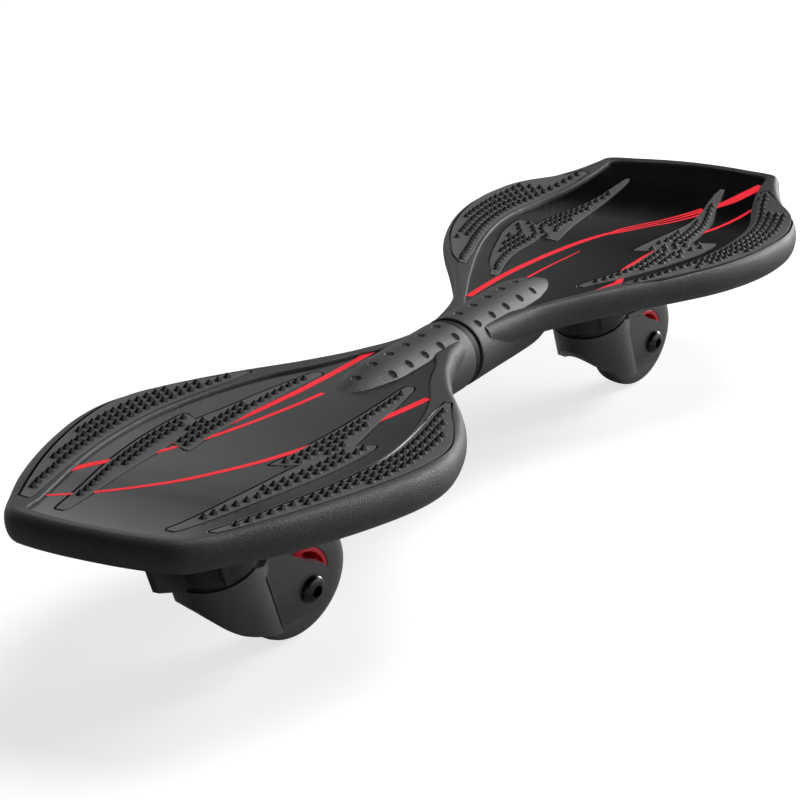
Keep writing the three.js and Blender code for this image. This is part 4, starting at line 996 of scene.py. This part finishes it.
stud_sizes = {"Radius": STUD_RADIUS * MM, "Tip Radius": STUD_TIP * MM, "Height": STUD_HEIGHT * MM}
for deck_name, deck in DECKS.items():
    pockets = []
    for place, blades in PADS[deck_name].items():
        for side_name, side_y in (("left", -1), ("right", 1)):
            made = [
                blade("blade", deck, shares, side_y, 0, PAD_PROUD[place], PAD_SUNK, [pad_rubber])
                for shares in blades
            ]
            pad = made[0]
            pad.name = f"{deck_name}_{place}_grip_{side_name}"
            if len(made) > 1:
                carve(pad, join=made[1:])
            shade(pad, 28)
            spots = stud_spots(deck, place, side_y)
            studs = repeated("studs", stud_tree, spots, stud_sizes, painted_shade_stud_rubber)
            shade(studs, 50)
            joined_mesh(pad, [studs])
            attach(pad, f"{deck_name}_board")
            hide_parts(f"{deck_name}_{place}_pad_{side_name}")
            below = PAD_SUNK + POCKET_SPARE
            for shares in blades:
                pocket = blade(
                    "pocket", deck, shares, side_y, PAD_GAP, POCKET_REACH, below, [pan_plastic],
                )
                pockets.append(pocket)
    body = deck["body"]
    carve(body, cut=pockets)
    shade(body, 30)
    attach(body, f"{deck_name}_board")
    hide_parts(f"{deck_name}_deck")

# Neck: a steel tube is held in the front barrel and turns in two nylon bushes in the rear one.
# A bar of spring steel inside it, held in a pinned anchor at each end, brings the decks level.
# A black rubber ring closes the joint between the barrels.
CLEARANCE = 0.3
PAST = 5  # how far a tool stands out of what it cuts
TUBE_BORE = 10.5
TUBE_RADIUS = 12.7
TUBE_ENDS = (-92, 72)
BUSH_BORE, BUSH_RADIUS = 13, 16
FLANGE_RADIUS = 19
FLANGED_BUSH = (1.2, 3.2, 19.2)  # the flange's two faces and the far end
PLAIN_BUSH = (54, 70)
BUSH_CHAMFER = 0.4
ANCHORS = {"front": (-92, -72, 10.2), "rear": (73.2, 93.2, 16)}  # ends along the neck, radius
BAR_RADIUS = 4.5
BAR_ENDS = (-81, 82.2)
BAR_SEAT = 9.3  # how deep the bar's seat in an anchor is
NECK_RING = (13, 22.3, -8.5)  # bore, radius, where it starts
BOLT_LOW, BOLT_SHOULDER, BOLT_HIGH = 78.9, 82.9, 115.1
BOLT_HEAD, BOLT_SHANK, BOLT_SOCKET = 5.5, 3, 4
BOLT_SOCKET_DEPTH = 2.5


def machined(name, colour, roughness, scale, metallic=1.0):
    """Metal with fine tool marks, cloudy stains and small bright rubs."""
    material, tree, shader, where = surface(name)
    cloud = node(tree, "ShaderNodeTexNoise", {"Vector": where, "Scale": 90, "Detail": 5})
    marks = node(tree, "ShaderNodeTexVoronoi", {"Vector": where, "Scale": scale}, feature="F1")
    depth = marks.outputs["Distance"]
    bump = node(tree, "ShaderNodeBump", {"Strength": 0.5, "Distance": 0.00003, "Height": depth})
    feed(tree, shader, {
        "Metallic": metallic,
        "Base Color": mottled(tree, cloud.outputs["Fac"], colour, 0.8, 1.15),
        "Roughness": ranged(tree, depth, roughness - 0.07, roughness + 0.09),
        "Normal": bump.outputs["Normal"],
    })
    return material


bright_steel = machined("machined_steel", tint(178, 181, 185), 0.34, 900)
spring_steel = machined("blued_spring_steel", tint(96, 100, 110), 0.38, 1100)
black_oxide = machined("black_oxide_steel", tint(14, 14, 15), 0.2, 1300, 0.0)
bush_nylon = grained_plastic("natural_nylon", tint(206, 205, 194), 0.45, 1500, 0.00004)
ring_rubber = grained_plastic("neck_ring_rubber", tint(12, 12, 13), 0.6, 1200, 0.00008, 0.1, 0.15)


def finish_piece(piece, body, slot, *nodes, angle=32):
    """Shades a piece and says what it rides on and what it replaces. Its slot is not used."""
    shade(piece, angle)
    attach(piece, body)
    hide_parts(*nodes)


def chamfered(radius, low, high, soft=0.5):
    """The profile of a rod with small chamfers at both ends."""
    return [(0, low), (radius - soft, low), (radius, low + soft), (radius, high - soft),
            (radius - soft, high), (0, high)]


def hexagon(name, flats, low, high, place, materials=(), soft=0.9):
    """A hexagon head whose corners are turned down at both ends."""
    corner = flats / math.sqrt(3)
    head = rod(name, corner, low, high, place, 6, materials)
    if soft:
        profile = chamfered(corner + 0.02, low - 0.01, high + 0.01, soft)
        carve(head, keep=[turned("round_off", profile, place, 48)])
    return head


def bolt_gap(deck):
    ends = (BOLT_LOW - 1, BOLT_HIGH + CLEARANCE)
    return rod("gap", BOLT_SHANK + CLEARANCE, *ends, deck["bolt_place"], 32)


neck = on_neck()
bore, outer, start = NECK_RING
profile = [(bore, start), (outer - 1.1, start), (outer - 0.35, start + 0.3), (outer, start + 1)]
profile += [(outer, -1), (outer - 0.35, -0.3), (outer - 1.1, 0), (bore, 0), (bore, start)]
neck_ring = turned("neck_joint_ring", profile, neck, 96, [ring_rubber])
finish_piece(neck_ring, "front_board", "black_rubber", "neck_ring", angle=40)

tube = turned_ring("pivot_tube", TUBE_BORE, TUBE_RADIUS, *TUBE_ENDS, neck, 72, [bright_steel], 0.5)
carve(tube, cut=[bolt_gap(DECKS["front"])])
finish_piece(tube, "front_board", "steel", "neck_tube")

low, step, high = FLANGED_BUSH
profile = [
    (BUSH_BORE, low), (FLANGE_RADIUS - BUSH_CHAMFER, low), (FLANGE_RADIUS, low + BUSH_CHAMFER),
    (FLANGE_RADIUS, step), (BUSH_RADIUS, step), (BUSH_RADIUS, high - BUSH_CHAMFER),
    (BUSH_RADIUS - BUSH_CHAMFER, high), (BUSH_BORE, high), (BUSH_BORE, low),
]
flanged_bush = turned("flanged_bush", profile, neck, 72, [bush_nylon])
finish_piece(flanged_bush, "rear_board", "bush_plastic", "inner_bush")
plain_bush = turned_ring(
    "plain_bush", BUSH_BORE, BUSH_RADIUS, *PLAIN_BUSH, neck, 72, [bush_nylon], 0.5,
)
finish_piece(plain_bush, "rear_board", "bush_plastic", "outer_bush")

bar = turned("torsion_spring_bar", chamfered(BAR_RADIUS, *BAR_ENDS, 0.8), neck, 48, [spring_steel])
finish_piece(bar, "front_board", "spring_steel", "torsion_bar")

for deck_name, (low, high, radius) in ANCHORS.items():
    deck = DECKS[deck_name]
    profile = chamfered(radius, low, high, 0.6)
    anchor = turned(f"{deck_name}_bar_anchor", profile, neck, 72, [bright_steel])
    seat = (high - BAR_SEAT, high + PAST) if deck_name == "front" else (low - PAST, low + BAR_SEAT)
    carve(anchor, cut=[rod("seat", BAR_RADIUS + CLEARANCE, *seat, neck), bolt_gap(deck)])
    finish_piece(anchor, f"{deck_name}_board", "steel", f"{deck_name}_anchor")
    place = deck["bolt_place"]
    profile = [
        (0, BOLT_LOW), (BOLT_HEAD - 0.6, BOLT_LOW), (BOLT_HEAD, BOLT_LOW + 0.6),
        (BOLT_HEAD, BOLT_SHOULDER), (BOLT_SHANK, BOLT_SHOULDER), (BOLT_SHANK, BOLT_HIGH - 0.5),
        (BOLT_SHANK - 0.5, BOLT_HIGH), (0, BOLT_HIGH),
    ]
    bolt = turned(f"{deck_name}_neck_bolt", profile, place, 48, [black_oxide])
    socket_ends = (BOLT_LOW - PAST, BOLT_LOW + BOLT_SOCKET_DEPTH)
    socket = hexagon("socket", BOLT_SOCKET, *socket_ends, place, soft=0)
    carve(bolt, cut=[socket])
    finish_piece(bolt, f"{deck_name}_board", "black_steel", f"{deck_name}_cross_bolt")

# Swivel stack: a pressed black plate is screwed to the deck's boss. The kingpin runs through
# it, two hardened races with a ring of balls between them, and the fork's head, to a lock nut.
PLATE_RADIUS = 28
PLATE_LOW, PLATE_HIGH = 1.2, 5.2
RACE_BORE, RACE_RADIUS = 8, 21.5
UPPER_RACE = (-1.7, 0.9)
LOWER_RACE = (-7.9, -5.3)
CAGE = (12.5, 17.5, -3.9, -3.1)  # inner and outer radius, low and high face
BALL_HEIGHT = -3.5
BALL_RADIUS = 1.5
BALL_COUNT = 18
BALL_CIRCLE = 15
KINGPIN_RADIUS = 5
KINGPIN_LOW, KINGPIN_SEAT = -25.8, 5.5
KINGPIN_FLATS = 15
KINGPIN_HEAD = 6
NUT_LOW, NUT_HIGH = -24.3, -17.3
SCREW_CIRCLE = 20.5
SCREW_COUNT = 4
SCREW_HEAD, SCREW_SHANK = 4.6, 2.4
SCREW_END = 18  # from the plate's lower face, like the three that follow
SCREW_CONE_END = 2.2
SCREW_RECESS = (1.7, -1, 1.6)  # radius, from and to
SINK_END = 8


def shape_of_input(tree, given):
    """The repeated shape is whatever object the tree is given."""
    taken = node(tree, "GeometryNodeObjectInfo", {"Object": given.outputs["Shape"]})
    return taken.outputs["Geometry"]


shape_tree = repeat_tree("repeated_shape", [("Shape", "Object")], shape_of_input)


def screw_shape():
    profile = [
        (0, 0.02), (SCREW_HEAD - 0.3, 0.02), (SCREW_HEAD - 0.1, 0.2), (SCREW_SHANK, SCREW_CONE_END),
        (SCREW_SHANK, SCREW_END - 2), (0.6, SCREW_END), (0, SCREW_END),
    ]
    screw = turned("screw", profile, Matrix(), 24)
    carve(screw, cut=[rod("recess", *SCREW_RECESS, Matrix(), 6)])
    shade(screw)
    return screw


def ball_shape():
    quarter = [math.radians(-90 + 15 * i) for i in range(13)]
    profile = [(BALL_RADIUS * math.cos(a), BALL_RADIUS * math.sin(a)) for a in quarter]
    ball = turned("ball", profile, Matrix(), 20)
    shade(ball, 60)
    return ball


def around(place, circle, count, height, first=0.0):
    """Spots evenly round an axis, all facing along it."""
    facing = (place.to_3x3() @ Vector((0, 0, 1))).normalized()
    spots = []
    for i in range(count):
        turn = math.radians(first) + 2 * math.pi * i / count
        spot = place @ Vector((circle * math.cos(turn), circle * math.sin(turn), height))
        spots.append((tuple(spot), tuple(facing)))
    return spots


screw_pattern, ball_pattern = screw_shape(), ball_shape()
for deck_name, deck in DECKS.items():
    axis = on_swivel(deck)
    board, caster = f"{deck_name}_board", f"{deck_name}_caster"
    spots = around(axis, SCREW_CIRCLE, SCREW_COUNT, PLATE_LOW, 45)
    bore = KINGPIN_RADIUS + CLEARANCE
    profile = [
        (bore, PLATE_LOW), (PLATE_RADIUS - 0.9, PLATE_LOW), (PLATE_RADIUS, PLATE_LOW + 0.9),
        (PLATE_RADIUS, PLATE_HIGH - 0.4), (PLATE_RADIUS - 0.4, PLATE_HIGH), (bore, PLATE_HIGH),
        (bore, PLATE_LOW),
    ]
    plate = turned(f"{deck_name}_caster_plate", profile, axis, 96, [black_oxide])
    sink = [
        (0, -0.5), (SCREW_HEAD + 0.8, -0.5), (SCREW_SHANK + CLEARANCE, 2.5),
        (SCREW_SHANK + CLEARANCE, SINK_END), (0, SINK_END),
    ]
    sinks = []
    for spot, _ in spots:
        at = Matrix.Translation(spot) @ axis.to_3x3().to_4x4()
        sinks.append(turned("sink", sink, at, 24))
    carve(plate, cut=sinks)
    finish_piece(plate, board, "black_steel", f"{deck_name}_base_plate")

    values = {"Shape": screw_pattern}
    screws = repeated(f"{deck_name}_plate_screws", shape_tree, spots, values, bright_steel)
    numbers = range(1, SCREW_COUNT + 1)
    finish_piece(screws, board, "steel", *[f"{deck_name}_plate_screw_{i}" for i in numbers])

    steel = [bright_steel]
    races = (RACE_BORE, RACE_RADIUS)
    upper = turned_ring(f"{deck_name}_top_race", *races, *UPPER_RACE, axis, 72, steel, 0.5)
    finish_piece(upper, board, "steel", f"{deck_name}_upper_race")
    cage = turned_ring(f"{deck_name}_balls_and_cage", *CAGE, axis, 72, steel, 0.2)
    shade(cage)
    spots = around(axis, BALL_CIRCLE, BALL_COUNT, BALL_HEIGHT)
    balls = repeated("balls", shape_tree, spots, {"Shape": ball_pattern}, bright_steel)
    joined_mesh(cage, [balls])
    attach(cage, board)
    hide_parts(f"{deck_name}_ball_ring")
    turned_axis = on_swivel(deck, True)
    lower = turned_ring(f"{deck_name}_bottom_race", *races, *LOWER_RACE, turned_axis, 72, steel, 0.5)
    finish_piece(lower, caster, "steel", f"{deck_name}_lower_race")

    profile = chamfered(KINGPIN_RADIUS, KINGPIN_LOW, KINGPIN_SEAT + CLEARANCE, 0.8)
    pin = turned(f"{deck_name}_swivel_kingpin", profile, axis, 48, steel)
    head = hexagon("head", KINGPIN_FLATS, KINGPIN_SEAT, KINGPIN_SEAT + KINGPIN_HEAD, axis)
    carve(pin, join=[head])
    finish_piece(pin, board, "steel", f"{deck_name}_kingpin")
    nut_name = f"{deck_name}_swivel_nut"
    nut = hexagon(nut_name, KINGPIN_FLATS, NUT_LOW, NUT_HIGH, axis, steel)
    carve(nut, cut=[rod("bore", bore, NUT_LOW - 1, NUT_HIGH + 1, axis)])
    finish_piece(nut, board, "steel", f"{deck_name}_kingpin_nut")
for pattern in (screw_pattern, ball_pattern):
    bpy.data.objects.remove(pattern)

# Forks: each is one stiff nylon moulding. A round head turns on the kingpin, a cowl shields the
# front of the wheel, and a flat blade runs down each side to the axle. A rounded bead and a
# thin ridge mark where the cowl ends on the blade.
HEAD_RADIUS = 28
HEAD_THICKNESS = 17
HEAD_EDGE = 13  # how far down the head's side is upright
FORK_INSIDE = 14
FORK_OUTSIDE = 20
FORK_LOW = -75
FORK_ROOM = 90  # deeper and longer than the fork
COWL_WALL = 5
COWL_ROOM_END = 6
COWL_END = 12.6
COWL_STEPS = 48
BEAD_STEPS = 8
BEAD_PAST = 35  # degrees that the bead runs on, past the fork's middle line
BEAD_RADIUS = 2.4
RIDGE_AT = 15.6
RIDGE_RADIUS = 0.9
RIDGE_STEPS = 6
BLADE_SUNK = 0.2  # between the bead and the ridge
BLADE_END = 70
AXLE_END_RADIUS = 15.5
AXLE_END_TURNS = (32, -138)  # degrees: where the round end starts, and how far it turns
AXLE_END_STEPS = 18
AXLE_RADIUS = 4
AXLE_BOSS = (6.2, 11.3, 17)  # radius, inner and outer end
WHEEL_ROOM = 40.5
RACE_ROOM_LOW = -8.2
FORK_SIDE = [
    # [x, z] in the swivel's frame, from the top back down the blade
    (-33, 0), (6, 0), (12, -5), (33, -15), (36, -21), (40, -27), (46, -34), (56, -44),
]
FORK_FRONT = [
    # from the axle's end up the cowl's front
    (14, -59), (11, -56.5), (-3, -46), (-12.3, -38.6), (-15.7, -35), (-18.7, -31), (-21.4, -26.5),
    (-23.7, -22), (-25.6, -17.8), (-27.3, -14), (-33, -13.4),
]

fork_nylon = grained_plastic("satin_fork_nylon", tint(76, 77, 78), 0.28, 2400, 0.00002)


def cowl_plan():
    """The fork from above: the cowl's circle, its bead, a groove, a ridge and the flat blade."""
    half = []
    end = math.acos((COWL_END - BEAD_RADIUS) / HEAD_RADIUS)
    for step in range(COWL_STEPS + 1):
        turn = math.pi - (math.pi - end) * step / COWL_STEPS
        half.append((HEAD_RADIUS * math.cos(turn), HEAD_RADIUS * math.sin(turn)))
    bead_x = (HEAD_RADIUS - BEAD_RADIUS) * math.cos(end)
    bead_y = (HEAD_RADIUS - BEAD_RADIUS) * math.sin(end)
    for step in range(1, BEAD_STEPS + 1):
        turn = end - (end + math.radians(BEAD_PAST)) * step / BEAD_STEPS
        half.append((bead_x + BEAD_RADIUS * math.cos(turn), bead_y + BEAD_RADIUS * math.sin(turn)))
    for x in (bead_x + BEAD_RADIUS * 0.9, RIDGE_AT - RIDGE_RADIUS - 0.5):
        half.append((x, FORK_OUTSIDE - BLADE_SUNK))
    for step in range(RIDGE_STEPS + 1):
        turn = math.pi * (1 - step / RIDGE_STEPS)
        rise = RIDGE_RADIUS * math.sin(turn)
        half.append((RIDGE_AT + RIDGE_RADIUS * math.cos(turn), FORK_OUTSIDE + rise))
    half.append((BLADE_END, FORK_OUTSIDE))
    return half + [(x, -y) for x, y in reversed(half[1:])]


def upright(name, plan, low, high, place, materials=()):
    """A plan of [x, y] points, from one height to another."""
    points = [place @ Vector((x, y, z)) for z in (low, high) for x, y in plan]
    return prism(name, points, materials)


def axle_arc():
    arc = []
    start, whole = AXLE_END_TURNS
    for step in range(AXLE_END_STEPS + 1):
        turn = math.radians(start + whole * step / AXLE_END_STEPS)
        arc.append((
            TRAIL + AXLE_END_RADIUS * math.cos(turn),
            -AXLE_DROP + AXLE_END_RADIUS * math.sin(turn),
        ))
    return arc


for deck_name, deck in DECKS.items():
    place = on_swivel(deck, True)
    axle = place @ Matrix.Translation((TRAIL, 0, -AXLE_DROP))
    axle = axle @ Matrix.Rotation(math.radians(90), 4, "X")
    deck["axle"] = axle
    back = smoothed(FORK_SIDE[2:], 3)
    front = smoothed(FORK_FRONT[1:], 3)
    side = FORK_SIDE[:2] + back[:-1] + axle_arc() + [FORK_FRONT[0]] + front
    fork = upright(f"{deck_name}_caster_fork", cowl_plan(), FORK_LOW, 0, place, [fork_nylon])
    head_profile = [
        (0, -HEAD_THICKNESS), (HEAD_RADIUS - 4.5, -HEAD_THICKNESS),
        (HEAD_RADIUS - 0.8, -HEAD_EDGE - 0.8), (HEAD_RADIUS, -HEAD_EDGE), (HEAD_RADIUS, -0.6),
        (HEAD_RADIUS - 0.6, 0), (0, 0),
    ]
    head = turned("head", head_profile, place, 96)
    wide = 2 * FORK_OUTSIDE
    carve(fork, join=[head], keep=[across("side", side, wide, place)])
    room_ends = (FORK_LOW - PAST, -HEAD_THICKNESS)
    cowl_room = rod("cowl_room", HEAD_RADIUS - COWL_WALL, *room_ends, place, 96)
    ahead = block("ahead", (-wide, -wide, -FORK_ROOM), (COWL_ROOM_END, wide, 0), place)
    carve(cowl_room, keep=[ahead])
    slot = block(
        "slot", (0, -FORK_INSIDE, -FORK_ROOM), (FORK_ROOM, FORK_INSIDE, -HEAD_THICKNESS), place,
    )
    wheel_room = rod("wheel_room", WHEEL_ROOM, -FORK_INSIDE, FORK_INSIDE, axle, 96)
    race_room = rod("race_room", RACE_RADIUS + CLEARANCE, RACE_ROOM_LOW, PAST, place, 72)
    pin_hole = rod("pin_hole", KINGPIN_RADIUS + CLEARANCE, -FORK_ROOM, PAST, place, 48)
    carve(fork, cut=[cowl_room, slot, wheel_room, race_room, pin_hole])
    radius, near, far = AXLE_BOSS
    bosses = [rod("axle_boss", radius, *ends, axle, 48) for ends in ((near, far), (-far, -near))]
    axle_hole = rod("axle_hole", AXLE_RADIUS + CLEARANCE, -wide, wide, axle, 48)
    carve(fork, join=bosses, cut=[axle_hole])
    finish_piece(fork, f"{deck_name}_caster", "fork_plastic", f"{deck_name}_fork", angle=24)

# Wheels: a cast polyurethane tyre on a moulded red hub with six spokes. Two shielded bearings
# with a spacer between them turn on a black button-head bolt with a lock nut.
TYRE_HALF = [
    # [radius, half width] of the tyre's section, from the hub out
    (21.8, 11), (22.4, 11.3), (26, 11.5), (29.6, 11.6), (31.6, 11.4), (33.8, 10.8), (35.4, 9.9),
    (36.5, 8.4), (37.3, 6.2), (37.75, 3.2), (37.9, 0),
]
HUB_RADIUS = 21.5
HUB_WALL = 2.5
HUB_HALF = 11
HUB_BOSS = 13.5
SPOKE_COUNT = 6
SPOKE_ROWS = [(9, 3.1), (13, 2.5), (16.5, 2.1), (18.6, 2.5), (20.4, 3.6)]  # along it, half width
SPOKE_HALF = 7
HUB_BORE = 9
HUB_ROOM = 20  # past the hub's face
BEARING_RADIUS = 11
BEARING_ENDS = (3.9, 10.9)
INNER_RING_RADIUS = 6
SPACER_HALF = 3.6
BOLT_SEAT = 20.3
BOLT_PAST_SEAT = 8.5
BUTTON_RADIUS = 8.5
BUTTON_HEIGHT = 4.6
BUTTON_EDGE = 0.9
BUTTON_FLAT = 2.2
BUTTON_TURN = 78  # degrees of the dome's curve
BUTTON_STEPS = 10
SOCKET_FLATS, SOCKET_DEPTH = 7, 3
AXLE_NUT_FLATS, AXLE_NUT_HEIGHT = 13, 7

tyre_urethane = grained_plastic("cast_urethane", tint(86, 87, 88), 0.42, 1500, 0.00005)
hub_red = grained_plastic("moulded_red_nylon", tint(226, 34, 52), 0.34, 2200, 0.00003)

for deck_name, deck in DECKS.items():
    axle = deck["axle"]
    caster, wheel = f"{deck_name}_caster", f"{deck_name}_wheel"
    lower = [(radius, -half) for radius, half in TYRE_HALF]
    profile = lower + [(radius, half) for radius, half in reversed(TYRE_HALF[:-1])] + [lower[0]]
    tyre = turned(f"{deck_name}_cast_tyre", profile, axle, 128, [tyre_urethane])
    finish_piece(tyre, wheel, "tyre", f"{deck_name}_tyre", angle=35)

    wall = HUB_RADIUS - HUB_WALL
    rim_profile = [
        (wall, -HUB_HALF), (HUB_RADIUS - 0.5, -HUB_HALF - 0.25), (HUB_RADIUS, -HUB_HALF + 0.4),
        (HUB_RADIUS, HUB_HALF - 0.4), (HUB_RADIUS - 0.5, HUB_HALF + 0.25), (wall, HUB_HALF),
        (wall - 0.4, HUB_HALF - 1), (wall - 0.9, 0), (wall - 0.4, -HUB_HALF + 1), (wall, -HUB_HALF),
    ]
    hub = turned(f"{deck_name}_spoked_hub", rim_profile, axle, 96, [hub_red])
    boss = turned("boss", chamfered(HUB_BOSS, -HUB_HALF, HUB_HALF, 0.7), axle, 72)
    plan = [(at, -half) for at, half in SPOKE_ROWS]
    plan += [(at, half) for at, half in reversed(SPOKE_ROWS)]
    arms = []
    for i in range(SPOKE_COUNT):
        turn = axle @ Matrix.Rotation(2 * math.pi * i / SPOKE_COUNT, 4, "Z")
        arms.append(upright("spoke", plan, -SPOKE_HALF, SPOKE_HALF, turn))
    seat = BEARING_RADIUS + CLEARANCE
    carve(hub, join=[boss, *arms], cut=[
        rod("bore", HUB_BORE, -HUB_ROOM, HUB_ROOM, axle),
        rod("seat", seat, SPACER_HALF, HUB_ROOM, axle),
        rod("seat", seat, -HUB_ROOM, -SPACER_HALF, axle),
    ])
    finish_piece(hub, wheel, "red_plastic", f"{deck_name}_hub", angle=28)

    hole = AXLE_RADIUS + CLEARANCE
    outer_ring = (INNER_RING_RADIUS + CLEARANCE, BEARING_RADIUS)
    inner_ring = (hole, INNER_RING_RADIUS)
    for side_name, side in (("left", 1), ("right", -1)):
        ends = sorted(side * end for end in BEARING_ENDS)
        label = f"{deck_name}_{side_name}_bearing"
        outer = turned_ring(
            f"{label}_race_and_shield", *outer_ring, *ends, axle, 72, [bright_steel], 0.4,
        )
        finish_piece(outer, wheel, "steel", f"{label}_outer_ring")
        inner = turned_ring(f"{label}_bore_race", *inner_ring, *ends, axle, 48, [bright_steel])
        finish_piece(inner, caster, "steel", f"{label}_inner_ring")
    ends = (-SPACER_HALF, SPACER_HALF)
    spacer = turned_ring(f"{deck_name}_axle_spacer", *inner_ring, *ends, axle, 48, [bright_steel])
    finish_piece(spacer, caster, "steel", f"{deck_name}_bearing_spacer")

    end = -BOLT_SEAT - BOLT_PAST_SEAT
    edge, top = BOLT_SEAT + BUTTON_EDGE, BOLT_SEAT + BUTTON_HEIGHT
    profile = [
        (0, end), (AXLE_RADIUS - 0.6, end), (AXLE_RADIUS, end + 0.6), (AXLE_RADIUS, BOLT_SEAT),
        (BUTTON_RADIUS - 0.3, BOLT_SEAT), (BUTTON_RADIUS, BOLT_SEAT + 0.3), (BUTTON_RADIUS, edge),
    ]
    for step in range(1, BUTTON_STEPS + 1):
        turn = math.radians(BUTTON_TURN) * step / BUTTON_STEPS
        rise = (BUTTON_HEIGHT - BUTTON_EDGE) * math.sin(turn) / math.sin(math.radians(BUTTON_TURN))
        radius = BUTTON_RADIUS * math.cos(turn) if step < BUTTON_STEPS else BUTTON_FLAT
        profile.append((radius, edge + rise))
    profile.append((0, top))
    bolt = turned(f"{deck_name}_button_head_bolt", profile, axle, 72, [black_oxide])
    socket = hexagon("socket", SOCKET_FLATS, top - SOCKET_DEPTH, top + PAST, axle, soft=0)
    carve(bolt, cut=[socket])
    finish_piece(bolt, caster, "black_steel", f"{deck_name}_axle_bolt")
    low = -BOLT_SEAT - AXLE_NUT_HEIGHT
    nut_name = f"{deck_name}_lock_nut"
    nut = hexagon(nut_name, AXLE_NUT_FLATS, low, -BOLT_SEAT, axle, [bright_steel])
    carve(nut, cut=[rod("bore", hole, low - 2, 0, axle)])
    finish_piece(nut, caster, "steel", f"{deck_name}_axle_nut")
